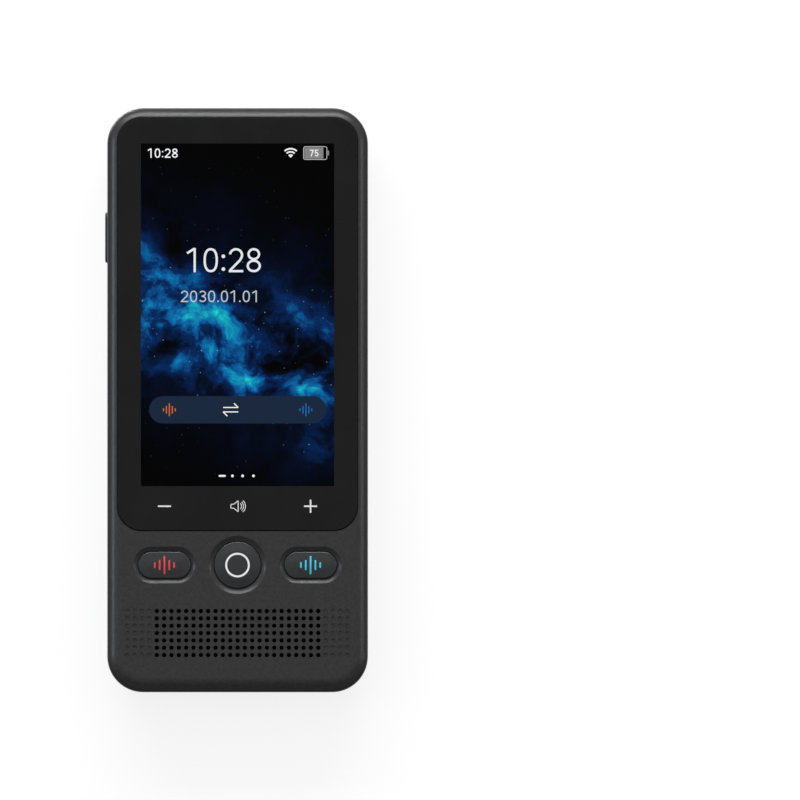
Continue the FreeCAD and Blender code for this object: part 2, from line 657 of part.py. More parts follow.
def talk_well(x):
    straight = TALK_KEY_LENGTH - TALK_KEY_HEIGHT
    return key_well(x, straight, TALK_KEY_HEIGHT / 2, TALK_WELL_WIDTH, TALK_WELL_DEPTH)


def home_well():
    return key_well(0, 0, HOME_KEY_RADIUS, HOME_WELL_WIDTH, HOME_WELL_DEPTH)


def hook_boxes(grow, depth):
    """The snap hooks of the rear cover's lip, or the pockets that take them when they are grown."""
    top = LIP_TOP_Z - HOOK_BELOW_LIP_TOP + grow
    low = top - HOOK_HEIGHT - 2 * grow
    half = HOOK_WIDTH / 2 + grow
    inner_x = HALF_WIDTH - LIP_OUTER_INSET
    inner_y = HALF_LENGTH - LIP_OUTER_INSET
    back = LIP_CLEARANCE
    found = []
    for side in (1, -1):
        for y in (HOOK_FROM_BOTTOM - HALF_LENGTH, 0, HALF_LENGTH - HOOK_FROM_TOP):
            x_low, x_high = sorted((side * (inner_x - back), side * (inner_x + depth)))
            found.append(box(x_low, x_high, y - half, y + half, low, top))
        for x in (HALF_WIDTH - HOOK_FROM_SIDE, HOOK_FROM_SIDE - HALF_WIDTH):
            y_low, y_high = sorted((side * (inner_y - back), side * (inner_y + depth)))
            found.append(box(x - half, x + half, y_low, y_high, low, top))
    return found


def switch_board_posts():
    """Two posts under the ledge, whose slots hold the power switch's board by its ends."""
    x_plate = switch_board_x()
    posts = []
    for side in (1, -1):
        end = POWER_KEY_Y + side * (SWITCH_BOARD_LENGTH / 2 - SWITCH_BOARD_POST_LAP)
        y_low, y_high = sorted((end, end + side * (SWITCH_BOARD_POST_LENGTH + SWITCH_BOARD_POST_LAP)))
        posts.append(box(
            -INNER_HALF_WIDTH - MARGIN / 2, x_plate + SWITCH_BOARD_THICKNESS + RIB_WALL, y_low, y_high,
            POWER_KEY_Z - SWITCH_BOARD_HEIGHT / 2, LEDGE_UNDER_Z + MARGIN / 2,
        ))
    return posts


def switch_board_x():
    """The left face of the power switch's board, behind the key, its post, the plunger and the switch."""
    return (-INNER_HALF_WIDTH + KEY_FLANGE_GAP + POWER_FLANGE_THICKNESS + POWER_POST_LENGTH + PLUNGER_OUT
            + SWITCH_DEPTH)


def switch_board_slot():
    fit = SWITCH_BOARD_FIT
    x_plate = switch_board_x()
    half = SWITCH_BOARD_LENGTH / 2 + fit
    return box(
        x_plate - fit, x_plate + SWITCH_BOARD_THICKNESS + fit, POWER_KEY_Y - half, POWER_KEY_Y + half,
        POWER_KEY_Z - SWITCH_BOARD_HEIGHT / 2 - MARGIN, POWER_KEY_Z + SWITCH_BOARD_HEIGHT / 2,
    )


def speaker_ribs():
    """A low fence on the deck's underside that the speaker sits in, open where its leads leave."""
    half_x = SPEAKER_WIDTH / 2 + SPEAKER_FIT
    half_y = SPEAKER_HEIGHT / 2 + SPEAKER_FIT
    low = GASKET_Z - SPEAKER_RIB_DROP

    def frame(out, z_low, z_high):
        return rounded_prism(
            -half_x - out, half_x + out, GRILLE_LINE - half_y - out, GRILLE_LINE + half_y + out,
            SPEAKER_RADIUS + out, z_low, z_high,
        )

    fence = frame(RIB_WALL, low, DECK_UNDER_Z + MARGIN / 2).cut(frame(0, low - MARGIN, DECK_UNDER_Z + MARGIN))
    notch = box(
        min(SPEAKER_LEAD_PLACES) - LEAD_NOTCH_MARGIN, max(SPEAKER_LEAD_PLACES) + LEAD_NOTCH_MARGIN,
        GRILLE_LINE, GRILLE_LINE + SPEAKER_HEIGHT, low - MARGIN, KEY_BOARD_Z + LEAD_RADIUS / 2,
    )
    return fence.cut(notch)


def make_front_cover():
    cover = inset_prism(0, SEAM_HEIGHT, FRONT_Z)
    cover = cover.cut(edge_cutter(0, FRONT_ROUND_IN, FRONT_ROUND_DOWN, FRONT_Z, 1))
    cover = cover.cut(edge_cutter(0, SKIRT_EDGE_ROUND, SKIRT_EDGE_ROUND, SEAM_HEIGHT, -1))

    # the hollow, in steps: wide below the ledge, narrower under the deck, widest inside the skirt
    deck_inset = FRONT_WALL + DECK_SIDE_STEP
    deck_hollow = inset_prism(deck_inset, LEDGE_UNDER_Z - MARGIN, DECK_UNDER_Z)
    above = box(-BODY_WIDTH, BODY_WIDTH, DECK_HOLLOW_TOP, BODY_LENGTH, 0, FRONT_Z)
    hollow = [
        inset_prism(FRONT_WALL, SEAM_HEIGHT - MARGIN, LEDGE_UNDER_Z),
        inset_prism(SKIRT_WALL, SEAM_HEIGHT - MARGIN, LIP_TOP_Z),
        deck_hollow.cut(above),
    ]
    cover = cover.cut(hollow)

    # what stands inside the hollow
    frame_bosses = [
        post(x, y, BOSS_RADIUS, FRAME_TOP_Z, LEDGE_UNDER_Z + MARGIN / 2)
        for x, y in mirrored_places(FRAME_SCREW_X, FRAME_SCREW_PLACES)
    ]
    key_bosses = [
        post(x, y, KEY_BOSS_RADIUS, KEY_BOARD_TOP_Z, DECK_UNDER_Z + MARGIN / 2) for x, y in KEY_SCREW_PLACES
    ]
    cover = cover.fuse(frame_bosses + key_bosses + switch_board_posts() + [speaker_ribs()])

    # glass bed, display opening, keys, grille and the openings in the walls
    gap = GLASS_GAP
    glass_half = GLASS_WIDTH / 2
    cuts = [
        rounded_prism(-glass_half - gap, glass_half + gap, GLASS_BOTTOM - gap, GLASS_TOP + gap,
                      GLASS_RADIUS + gap, LEDGE_Z, FRONT_Z + MARGIN),
        rounded_prism(-PANEL_HALF_WIDTH - BED_OUT, PANEL_HALF_WIDTH + BED_OUT, PANEL_BOTTOM - 2 * BED_OUT,
                      PANEL_TOP + BED_OUT, PANEL_RADIUS + BED_OUT, LEDGE_UNDER_Z - MARGIN, LEDGE_Z + MARGIN),
        talk_well(-TALK_KEY_X), home_well(), talk_well(TALK_KEY_X),
        switch_board_slot(),
        side_slot(POWER_KEY_Y, POWER_KEY_Z, POWER_KEY_LENGTH + 2 * POWER_KEY_GAP,
                  POWER_KEY_HEIGHT + 2 * POWER_KEY_GAP, -HALF_WIDTH - MARGIN, -INNER_HALF_WIDTH + MARGIN / 2),
        end_slot(0, PORT_CENTRE_Z, PORT_WIDTH + 2 * PORT_CLEARANCE, PORT_HEIGHT + 2 * PORT_CLEARANCE,
                 INNER_HALF_LENGTH - MARGIN / 2, HALF_LENGTH + MARGIN),
        port_mouth(),
        box(-PORT_DIP_WIDTH / 2, PORT_DIP_WIDTH / 2, HALF_LENGTH - PORT_DIP_DEPTH, HALF_LENGTH + MARGIN,
            SEAM_HEIGHT - MARGIN, FRONT_Z - FRONT_ROUND_DOWN),
        Part.makeCylinder(LOWER_MIC_HOLE_RADIUS, FRONT_WALL + 2 * MARGIN,
                          V(LOWER_MIC_X, -HALF_LENGTH - MARGIN, LOWER_MIC_Z), V(0, 1, 0)),
    ]
    pilot = SCREW_RADIUS + SCREW_FIT
    cuts += [
        post(x, y, pilot, FRAME_TOP_Z - MARGIN, frame_screw_tip() + SCREW_TIP_GAP)
        for x, y in mirrored_places(FRAME_SCREW_X, FRAME_SCREW_PLACES)
    ]
    cuts += [
        post(x, y, pilot, KEY_BOARD_TOP_Z - MARGIN, key_screw_tip() + SCREW_TIP_GAP)
        for x, y in KEY_SCREW_PLACES
    ]
    cover = cover.cut(cuts)
    cover = cover.cut(hook_boxes(HOOK_CLEARANCE, HOOK_DEPTH + HOOK_CLEARANCE))

    open_half = (GRILLE_OPEN_COLUMNS - 1) // 2
    last_column = max(open_half, math.floor((HALF_WIDTH - GRILLE_FROM_SIDE) / GRILLE_PITCH))
    holes = [
        post(x, y, GRILLE_HOLE_RADIUS, DECK_UNDER_Z - MARGIN / 2, FRONT_Z + MARGIN)
        for x, y in grille_places(0, open_half + 1)
    ]
    dimples = [
        post(x, y, GRILLE_HOLE_RADIUS, FRONT_Z - DIMPLE_DEPTH, FRONT_Z + MARGIN)
        for x, y in grille_places(open_half + 1, last_column - open_half)
    ]
    return cover.cut(Part.makeCompound(holes + dimples))


def port_mouth():
    """The chamfer round the charging port's opening."""
    wide = PORT_CLEARANCE + PORT_MOUTH_CHAMFER
    half_width = PORT_WIDTH / 2 + PORT_CLEARANCE
    height = PORT_HEIGHT / 2 + PORT_CLEARANCE
    outside = HALF_LENGTH - PORT_DIP_DEPTH
    solid = long_turned(
        [[(0, 0)], [(height, 0)], [(height + PORT_MOUTH_CHAMFER, PORT_MOUTH_CHAMFER)],
         [(height + wide, PORT_MOUTH_CHAMFER + MARGIN)], [(0, PORT_MOUTH_CHAMFER + MARGIN)]],
        0, 0, 2 * (half_width - height),
    )
    solid.rotate(V(0, 0, 0), V(1, 0, 0), -90)
    solid.translate(V(0, outside - PORT_MOUTH_CHAMFER, PORT_CENTRE_Z))
    return solid


def frame_screw_tip():
    return LEDGE_Z - 2 * SCREW_TIP_GAP


def key_screw_tip():
    return DECK_UNDER_Z + SCREW_TIP_GAP


def make_rear_cover():
    body_top = SEAM_HEIGHT - SEAM_GAP
    cover = inset_prism(REAR_INSET, 0, body_top)
    cover = cover.cut(edge_cutter(REAR_INSET, REAR_ROUND_IN, REAR_ROUND_UP, 0, -1))
    lip = inset_prism(LIP_OUTER_INSET, body_top - REAR_WALL / 2, LIP_TOP_Z)
    lip = lip.cut(inset_prism(REAR_INNER_INSET, 0, LIP_TOP_Z + MARGIN))
    hollow = inset_prism(REAR_INNER_INSET, REAR_WALL, body_top + MARGIN)
    hollow = hollow.cut(edge_cutter(
        REAR_INNER_INSET, REAR_ROUND_IN - REAR_WALL, REAR_ROUND_UP - REAR_WALL, REAR_WALL, -1,
    ))
    cover = cover.cut(hollow).fuse([lip] + hook_boxes(0, HOOK_DEPTH))

    seat = post(0, CAMERA_Y, CAMERA_SEAT_RADIUS, REAR_WALL / 2, CAMERA_SEAT_HEIGHT)
    seat = seat.common(inset_prism(REAR_INSET + REAR_WALL / 2, 0, body_top))
    rib_x = HALF_WIDTH - FLOOR_RIB_FROM_SIDE
    ribs = [
        box(x - RIB_WALL / 2, x + RIB_WALL / 2, FLOOR_RIB_FROM_BOTTOM - HALF_LENGTH,
            HALF_LENGTH - FLOOR_RIB_FROM_TOP, REAR_WALL / 2, REAR_WALL + FLOOR_RIB_HEIGHT)
        for x in (rib_x, -rib_x)
    ]
    cover = cover.fuse([seat] + ribs)

    reach = power_key_reach()
    port_half = PORT_WIDTH / 2 + PORT_CLEARANCE + 2 * NOTCH_CLEARANCE
    mic_half = LOWER_BOOT_WIDTH / 2 + NOTCH_CLEARANCE
    cuts = [
        post(0, CAMERA_Y, CAMERA_RING_RADIUS + CAMERA_RING_GAP, -MARGIN, CAMERA_SEAT_HEIGHT + MARGIN),
        post(*REAR_MIC_PLACE, REAR_MIC_HOLE_RADIUS, -MARGIN, REAR_WALL + MARGIN),
        box(-BODY_WIDTH, -HALF_WIDTH / 2, POWER_KEY_Y - reach, POWER_KEY_Y + reach, body_top, BODY_DEPTH),
        box(-port_half, port_half, HALF_LENGTH / 2, BODY_LENGTH, body_top, BODY_DEPTH),
        box(LOWER_MIC_X - mic_half, LOWER_MIC_X + mic_half, -BODY_LENGTH, -HALF_LENGTH / 2,
            body_top, BODY_DEPTH),
    ]
    return cover.cut(cuts)


def make_cover_glass():
    half = GLASS_WIDTH / 2
    glass = rounded_prism(-half, half, GLASS_BOTTOM, GLASS_TOP, GLASS_RADIUS, GLASS_Z, FRONT_Z)
    rim = [e for e in glass.Edges if all(abs(v.Z - FRONT_Z) < 1e-6 for v in e.Vertexes)]
    return glass.makeFillet(GLASS_EDGE_ROUND, rim)


def make_glass_adhesive():
    half = GLASS_WIDTH / 2 - ADHESIVE_INSET
    out = BED_OUT + ADHESIVE_INSET
    outer = rounded_prism(-half, half, GLASS_BOTTOM + ADHESIVE_INSET, GLASS_TOP - ADHESIVE_INSET,
                          GLASS_RADIUS - ADHESIVE_INSET, LEDGE_Z, GLASS_Z)
    inner = rounded_prism(-PANEL_HALF_WIDTH - out, PANEL_HALF_WIDTH + out, PANEL_BOTTOM - BED_OUT - out,
                          PANEL_TOP + out, PANEL_RADIUS + out, LEDGE_Z - MARGIN, GLASS_Z + MARGIN)
    return outer.cut(inner)


def panel_prism(out, z_low, z_high):
    return rounded_prism(-PANEL_HALF_WIDTH - out, PANEL_HALF_WIDTH + out, PANEL_BOTTOM - out, PANEL_TOP + out,
                         PANEL_RADIUS + out, z_low, z_high)


def make_backlight_tray():
    """A pressed tray with walls on three sides; its lower end is open for the display's strip."""
    rim_z = PANEL_Z + PANEL_THICKNESS / 2
    tray = panel_prism(TRAY_WALL, TRAY_Z, rim_z).cut(panel_prism(0, GUIDE_Z, rim_z + MARGIN))
    low = box(-BODY_WIDTH, BODY_WIDTH, PANEL_BOTTOM - BODY_LENGTH, PANEL_BOTTOM, TRAY_Z - MARGIN,
              rim_z + MARGIN)
    return tray.cut(low)


def make_display_strip():
    """From the panel's lower end down past the tray and the mid frame to the key board."""
    fall_y = DISPLAY_STRIP_Y
    run_z = KEY_BOARD_Z - CONNECTOR_HEIGHT / 2
    points = [
        (PANEL_BOTTOM, PANEL_Z + PANEL_THICKNESS / 4),
        (fall_y, PANEL_Z + PANEL_THICKNESS / 4),
        (fall_y, run_z),
        (DISPLAY_SOCKET_TOP, run_z),
    ]
    return strip(points, *DISPLAY_STRIP)


def make_mid_frame():
    half = INNER_HALF_WIDTH - FRAME_SIDE_GAP
    top = INNER_HALF_LENGTH - FRAME_END_GAP
    plate = rounded_prism(-half, half, FRAME_BOTTOM, top, FRAME_RADIUS, FRAME_Z, FRAME_TOP_Z)
    inner = BATTERY_WIDTH / 2 + NOTCH_CLEARANCE
    flanges = []
    for side in (1, -1):
        x_low, x_high = sorted((side * inner, side * (inner + FRAME_FLANGE_WALL)))
        flanges.append(box(x_low, x_high, BATTERY_BOTTOM + TAPE_INSET, BATTERY_TOP - TAPE_INSET,
                           FRAME_Z - FRAME_FLANGE_DROP, FRAME_Z + FRAME_THICKNESS / 2))
    standoffs = [post(x, y, STANDOFF_RADIUS, BOARD_TOP_Z, FRAME_Z + FRAME_THICKNESS / 2)
                 for x, y in BOARD_SCREW_PLACES]
    plate = plate.fuse(flanges + standoffs)
    cuts = [post(x, y, SCREW_RADIUS + SCREW_FIT, FRAME_Z - MARGIN, FRAME_TOP_Z + MARGIN)
            for x, y in mirrored_places(FRAME_SCREW_X, FRAME_SCREW_PLACES)]
    cuts += [post(x, y, SCREW_RADIUS + SCREW_FIT, BOARD_TOP_Z - MARGIN, board_screw_tip() + SCREW_TIP_GAP)
             for x, y in BOARD_SCREW_PLACES]
    strip_low, strip_high = DISPLAY_STRIP
    cuts += [
        box(strip_low - NOTCH_CLEARANCE, strip_high + NOTCH_CLEARANCE, FRAME_BOTTOM - MARGIN,
            DISPLAY_STRIP_Y + NOTCH_CLEARANCE, FRAME_Z - MARGIN, FRAME_TOP_Z + MARGIN),
        power_key_notch(FRAME_Z - MARGIN, FRAME_TOP_Z + MARGIN),
    ]
    return plate.cut(cuts)


def power_key_notch(z_low, z_high):
    """The space at the left edge that the boards leave for the power key, its switch and the posts."""
    reach = power_key_reach()
    return box(-BODY_WIDTH, power_key_notch_x(), POWER_KEY_Y - reach, POWER_KEY_Y + reach, z_low, z_high)


def power_key_reach():
    """Half the length that the power key's switch board and its posts need, with room around them."""
    return SWITCH_BOARD_LENGTH / 2 + SWITCH_BOARD_POST_LENGTH + NOTCH_CLEARANCE


def power_key_notch_x():
    return switch_board_x() + SWITCH_BOARD_THICKNESS + RIB_WALL + NOTCH_CLEARANCE


def board_screw_tip():
    return FRAME_Z + FRAME_THICKNESS / 2


def make_main_board():
    board = rounded_prism(-BOARD_HALF_WIDTH, BOARD_HALF_WIDTH, BOARD_BOTTOM, BOARD_TOP, BOARD_RADIUS,
                          BOARD_Z, BOARD_TOP_Z)
    port_half = PORT_WIDTH / 2 + NOTCH_CLEARANCE
    cuts = [
        box(-port_half, port_half, PORT_BACK_Y - NOTCH_CLEARANCE / 2, BODY_LENGTH, 0, BODY_DEPTH),
        power_key_notch(0, BODY_DEPTH),
    ]
    cuts += [post(x, y, SCREW_RADIUS + SCREW_FIT, 0, BODY_DEPTH) for x, y in BOARD_SCREW_PLACES]
    return board.cut(cuts)


def make_shield(x_low, x_high, downs):
    """A pressed can on the board's rear face, open towards the board."""
    y_low, y_high = (BOARD_TOP - down for down in downs)
    low = BOARD_Z - SHIELD_HEIGHT
    can = rounded_prism(x_low, x_high, y_low, y_high, 3 * SHIELD_WALL, low, BOARD_Z)
    wall = SHIELD_WALL
    inside = rounded_prism(x_low + wall, x_high - wall, y_low + wall, y_high - wall, 2 * wall,
                           low + wall, BOARD_Z + MARGIN)
    return can.cut(inside)


def make_board_chips():
    chips = []
    for places, board_z, towards in ((FRONT_CHIPS, BOARD_TOP_Z, 1), (HIDDEN_CHIPS, BOARD_Z, -1)):
        for x, down, width, length in places:
            y = BOARD_TOP - down
            chips.append(socket_block(x - width / 2, x + width / 2, y - length / 2, y + length / 2,
                                      board_z, towards, CHIP_HEIGHT))
    return Part.makeCompound(chips)


def camera_socket_ends():
    high = CAMERA_Y - CAMERA_MODULE_SIDE / 2 - 1.7
    return high - CAMERA_SOCKET_LENGTH, high


def make_board_sockets():
    """Sockets on the main board's rear face: battery, link strip and camera strip."""
    low = BOARD_BOTTOM + NOTCH_CLEARANCE
    camera_low, camera_high = camera_socket_ends()
    half = CAMERA_STRIP_WIDTH / 2 + NOTCH_CLEARANCE
    return Part.makeCompound([
        socket_block(*BATTERY_SOCKET, low, low + SOCKET_LENGTH, BOARD_Z, -1, BATTERY_SOCKET_HEIGHT),
        socket_block(*LINK_STRIP, low, low + SOCKET_LENGTH, BOARD_Z, -1, CONNECTOR_HEIGHT),
        socket_block(-half, half, camera_low, camera_high, BOARD_Z, -1, CONNECTOR_HEIGHT),
    ])


def make_port_shell():
    outer = end_slot(0, PORT_CENTRE_Z, PORT_WIDTH, PORT_HEIGHT, PORT_BACK_Y, PORT_MOUTH_Y)
    inner = end_slot(0, PORT_CENTRE_Z, PORT_WIDTH - 2 * PORT_WALL, PORT_HEIGHT - 2 * PORT_WALL,
                     PORT_BACK_Y + PORT_WALL, PORT_MOUTH_Y + MARGIN)
    half = PORT_WIDTH / 2
    tabs = []
    for side in (1, -1):
        x_low, x_high = sorted((side * (half - PORT_WALL), side * (half + PORT_TAB_OUT)))
        tabs += [box(x_low, x_high, y - PORT_TAB_LENGTH / 2, y + PORT_TAB_LENGTH / 2,
                     BOARD_TOP_Z, BOARD_TOP_Z + PORT_WALL)
                 for y in (PORT_MOUTH_Y - back for back in PORT_TABS_FROM_MOUTH)]
    return outer.fuse(tabs).cut(inner)


def make_port_tongue():
    """The contact tongue, on the block that fills the back of the port."""
    back = PORT_BACK_Y + PORT_WALL
    root = end_slot(0, PORT_CENTRE_Z, PORT_WIDTH - 2 * PORT_WALL, PORT_HEIGHT - 2 * PORT_WALL,
                    back, PORT_MOUTH_Y - PORT_TONGUE_LENGTH - PORT_WALL)
    half = PORT_TONGUE_THICKNESS / 2
    tongue = box(-PORT_TONGUE_WIDTH / 2, PORT_TONGUE_WIDTH / 2, back, PORT_MOUTH_Y - PORT_WALL,
                 PORT_CENTRE_Z - half, PORT_CENTRE_Z + half)
    return root.fuse(tongue)


def make_battery_cell():
    half = BATTERY_WIDTH / 2
    cell = box(-half, half, BATTERY_BOTTOM, BATTERY_TOP, BATTERY_Z, BATTERY_TOP_Z)
    return cell.makeFillet(BATTERY_RADIUS, cell.Edges)


def make_battery_tape():
    half = BATTERY_WIDTH / 2 - TAPE_INSET
    return box(-half, half, BATTERY_BOTTOM + TAPE_INSET, BATTERY_TOP - TAPE_INSET, BATTERY_TOP_Z, FRAME_Z)


def make_battery_circuit():
    half = BATTERY_CIRCUIT_HEIGHT / 2
    return box(*BATTERY_CIRCUIT, BATTERY_TOP, BATTERY_TOP + BATTERY_CIRCUIT_LENGTH,
               BATTERY_LEAD_Z - half, BATTERY_LEAD_Z + half)


def make_battery_lead():
    start = BATTERY_TOP + BATTERY_CIRCUIT_LENGTH
    end = BOARD_BOTTOM + NOTCH_CLEARANCE
    return Part.makeCompound([
        Part.makeCylinder(LEAD_RADIUS, end - start, V(x, start, BATTERY_LEAD_Z), V(0, 1, 0))
        for x in BATTERY_LEAD_PLACES
    ])


def make_link_strip():
    """From the main board down, along the battery's back and up to the key board."""
    board_z = BOARD_Z - CONNECTOR_HEIGHT / 2
    back_z = BATTERY_Z - LINK_STRIP_DROP
    key_z = KEY_BOARD_Z - CONNECTOR_HEIGHT / 2
    turn = 2 * NOTCH_CLEARANCE
    points = [
        (BOARD_BOTTOM + NOTCH_CLEARANCE, board_z),
        (BOARD_BOTTOM - NOTCH_CLEARANCE, board_z),
        (BATTERY_TOP + 2 * turn, back_z),
        (BATTERY_BOTTOM - turn, back_z),
        (FRAME_BOTTOM - 2 * turn, key_z),
        (LINK_SOCKET_TOP, key_z),
    ]
    return strip(points, *LINK_STRIP)


def make_key_board():
    board = rounded_prism(-KEY_BOARD_HALF_WIDTH, KEY_BOARD_HALF_WIDTH, KEY_BOARD_BOTTOM, KEY_BOARD_TOP,
                          KEY_BOARD_RADIUS, KEY_BOARD_Z, KEY_BOARD_TOP_Z)
    return board.cut([post(x, y, SCREW_RADIUS + SCREW_FIT, 0, BODY_DEPTH) for x, y in KEY_SCREW_PLACES])


def make_key_board_sockets():
    return Part.makeCompound([
        socket_block(*DISPLAY_STRIP, DISPLAY_SOCKET_TOP - SOCKET_LENGTH, DISPLAY_SOCKET_TOP,
                     KEY_BOARD_Z, -1, CONNECTOR_HEIGHT),
        socket_block(*LINK_STRIP, LINK_SOCKET_TOP - SOCKET_LENGTH, LINK_SOCKET_TOP,
                     KEY_BOARD_Z, -1, CONNECTOR_HEIGHT),
        socket_block(*MIC_STRIP, mic_socket_y(), mic_socket_y() + MIC_SOCKET_LENGTH,
                     KEY_BOARD_Z, -1, CONNECTOR_HEIGHT),
    ])


def mic_socket_y():
    return KEY_BOARD_BOTTOM + NOTCH_CLEARANCE


def make_dome(x):
    """A snap dome on the key board: a shallow cone with a flat top."""
    top = KEY_BOARD_TOP_Z + DOME_HEIGHT
    return long_turned([[(0, KEY_BOARD_TOP_Z)], [(DOME_RADIUS, KEY_BOARD_TOP_Z)],
                        [(DOME_TOP_RADIUS * 1.3, top), (DOME_TOP_RADIUS, top)], [(0, top)]], x, KEY_LINE, 0)


def key_cap(x, straight, radius, crown, proud, flat_radius):
    """A key's cap with its flange and post, before its mark is let in."""
    top = FRONT_Z + proud
    edge = top - crown
    flange = radius + KEY_FLANGE_REACH
    steps = [
        [(0, KEY_FLANGE_Z)],
        [(flange, KEY_FLANGE_Z)],
        [(flange, KEY_FLANGE_TOP_Z)],
        [(radius, KEY_FLANGE_TOP_Z)],
        [(radius, edge - KEY_SHOULDER)],
        [(radius, edge), (radius - KEY_SHOULDER, edge)],
        [(flat_radius + CROWN_BEND * (radius - flat_radius), top), (flat_radius, top)],
        [(0, top)],
    ]
    return long_turned(steps, x, KEY_LINE, straight).fuse(
        post(x, KEY_LINE, KEY_POST_RADIUS, KEY_POST_Z, KEY_FLANGE_Z + KEY_FLANGE_THICKNESS / 2))


def wave_bars(x):
    """Five upright bars, tallest in the middle, as cutting bodies through a talk key's top."""
    middle = (len(WAVE_BAR_HEIGHTS) - 1) / 2
    bars = []
    for i, height in enumerate(WAVE_BAR_HEIGHTS):
        bar = slot_prism(0, 0, height, WAVE_BAR_WIDTH, FRONT_Z + TALK_KEY_PROUD - TALK_KEY_CROWN - MARK_DEPTH,
                         FRONT_Z + MARGIN)
        bar.rotate(V(0, 0, 0), V(0, 0, 1), 90)
        bar.translate(V(x + (i - middle) * WAVE_BAR_PITCH, KEY_LINE, 0))
        bars.append(bar)
    return Part.makeCompound(bars)


def make_talk_key(x):
    """The cap and its coloured mark."""
    straight = TALK_KEY_LENGTH - TALK_KEY_HEIGHT
    cap = key_cap(x, straight, TALK_KEY_HEIGHT / 2, TALK_KEY_CROWN, TALK_KEY_PROUD, TALK_FLAT_RADIUS)
    bars = wave_bars(x)
    return cap.cut(bars), cap.common(bars)


def make_home_key():
    """The round cap and its ring mark."""
    cap = key_cap(0, 0, HOME_KEY_RADIUS, HOME_KEY_CROWN, HOME_KEY_PROUD, HOME_FLAT_RADIUS)
    low = FRONT_Z + HOME_KEY_PROUD - MARK_DEPTH
    ring = post(0, KEY_LINE, HOME_MARK_RADIUS, low, FRONT_Z + MARGIN)
    inner = HOME_MARK_RADIUS - HOME_MARK_STROKE
    ring = ring.cut(post(0, KEY_LINE, inner, low - MARGIN, FRONT_Z + 2 * MARGIN))
    return cap.cut(ring), cap.common(ring)


def make_grille_mesh():
    half_x = SPEAKER_WIDTH / 2 - SPEAKER_FIT
    half_y = SPEAKER_HEIGHT / 2 - SPEAKER_FIT
    return rounded_prism(-half_x, half_x, GRILLE_LINE - half_y, GRILLE_LINE + half_y, SPEAKER_RADIUS,
                         MESH_Z, DECK_UNDER_Z)


def speaker_prism(inset, z_low, z_high):
    half_x = SPEAKER_WIDTH / 2 - inset
    half_y = SPEAKER_HEIGHT / 2 - inset
    radius = max(SPEAKER_RADIUS - inset, SPEAKER_RADIUS / 4)
    return rounded_prism(-half_x, half_x, GRILLE_LINE - half_y, GRILLE_LINE + half_y, radius, z_low, z_high)


def make_speaker_gasket():
    return speaker_prism(0, GASKET_Z, MESH_Z).cut(
        speaker_prism(SPEAKER_GASKET_WALL, GASKET_Z - MARGIN, MESH_Z + MARGIN))


def make_speaker_frame():
    frame = speaker_prism(0, SPEAKER_Z, GASKET_Z)
    frame = frame.cut(speaker_prism(SPEAKER_WALL, SPEAKER_Z + SPEAKER_WALL, GASKET_Z + MARGIN))
    half_x = MAGNET_WIDTH / 2
    half_y = MAGNET_HEIGHT / 2
    return frame.cut(box(-half_x, half_x, GRILLE_LINE - half_y, GRILLE_LINE + half_y,
                         SPEAKER_Z - MARGIN, SPEAKER_Z + SPEAKER_WALL + MARGIN))


def make_speaker_cone():
    """A diaphragm with a raised roll round a flat middle."""
    seat = GASKET_Z - CONE_ROLL - CONE_THICKNESS
    sheet = speaker_prism(SPEAKER_WALL, seat, seat + CONE_THICKNESS)
    roll = speaker_prism(SPEAKER_WALL + CONE_ROLL, seat, seat + CONE_THICKNESS + CONE_ROLL)
    roll = roll.cut(speaker_prism(SPEAKER_WALL + 3 * CONE_ROLL, seat - MARGIN, GASKET_Z + MARGIN))
    return sheet.fuse(roll)


def make_speaker_magnet():
    """Yoke and magnet, let into the frame's floor from behind."""
    half_x = MAGNET_WIDTH / 2
    half_y = MAGNET_HEIGHT / 2
    inner = box(-half_x, half_x, GRILLE_LINE - half_y, GRILLE_LINE + half_y,
                SPEAKER_Z, SPEAKER_Z + SPEAKER_WALL)
    outer = rounded_prism(-half_x, half_x, GRILLE_LINE - half_y, GRILLE_LINE + half_y, SPEAKER_RADIUS / 2,
                          SPEAKER_Z - MAGNET_DEPTH, SPEAKER_Z)
    return inner.fuse(outer)


def make_speaker_leads():
    start = GRILLE_LINE + SPEAKER_HEIGHT / 2
    end = KEY_BOARD_BOTTOM + 2 * NOTCH_CLEARANCE
    z = KEY_BOARD_Z - LEAD_RADIUS
    return Part.makeCompound([
        Part.makeCylinder(LEAD_RADIUS, end - start, V(x, start, z), V(0, 1, 0)) for x in SPEAKER_LEAD_PLACES
    ])


def plate_z():
    """The camera plate's outer face, below the flat back."""
    return -CAMERA_PROUD + CAMERA_PLATE_RECESS


def make_camera_ring():
    """Turned ring: chamfered lip outside, a shoulder for the plate and a flange inside the cover."""
    shoulder_z = plate_z() + CAMERA_PLATE_THICKNESS
    top = CAMERA_SEAT_HEIGHT + CAMERA_FLANGE_THICKNESS
    radius = CAMERA_RING_RADIUS
    bore = CAMERA_PLATE_RADIUS + CAMERA_FIT
    points = [
        (bore, -CAMERA_PROUD), (radius - CAMERA_RING_CHAMFER, -CAMERA_PROUD),
        (radius, -CAMERA_PROUD + CAMERA_RING_CHAMFER), (radius, CAMERA_SEAT_HEIGHT),
        (radius + CAMERA_RING_FLANGE, CAMERA_SEAT_HEIGHT), (radius + CAMERA_RING_FLANGE, top),
        (bore - CAMERA_SHOULDER, top), (bore - CAMERA_SHOULDER, shoulder_z), (bore, shoulder_z),
    ]
    ring = [V(r, 0, z) for r, z in points]
    solid = Part.Face(Part.makePolygon(ring + ring[:1])).revolve(V(0, 0, 0), V(0, 0, 1), 360)
    solid.translate(V(0, CAMERA_Y, 0))
    return solid


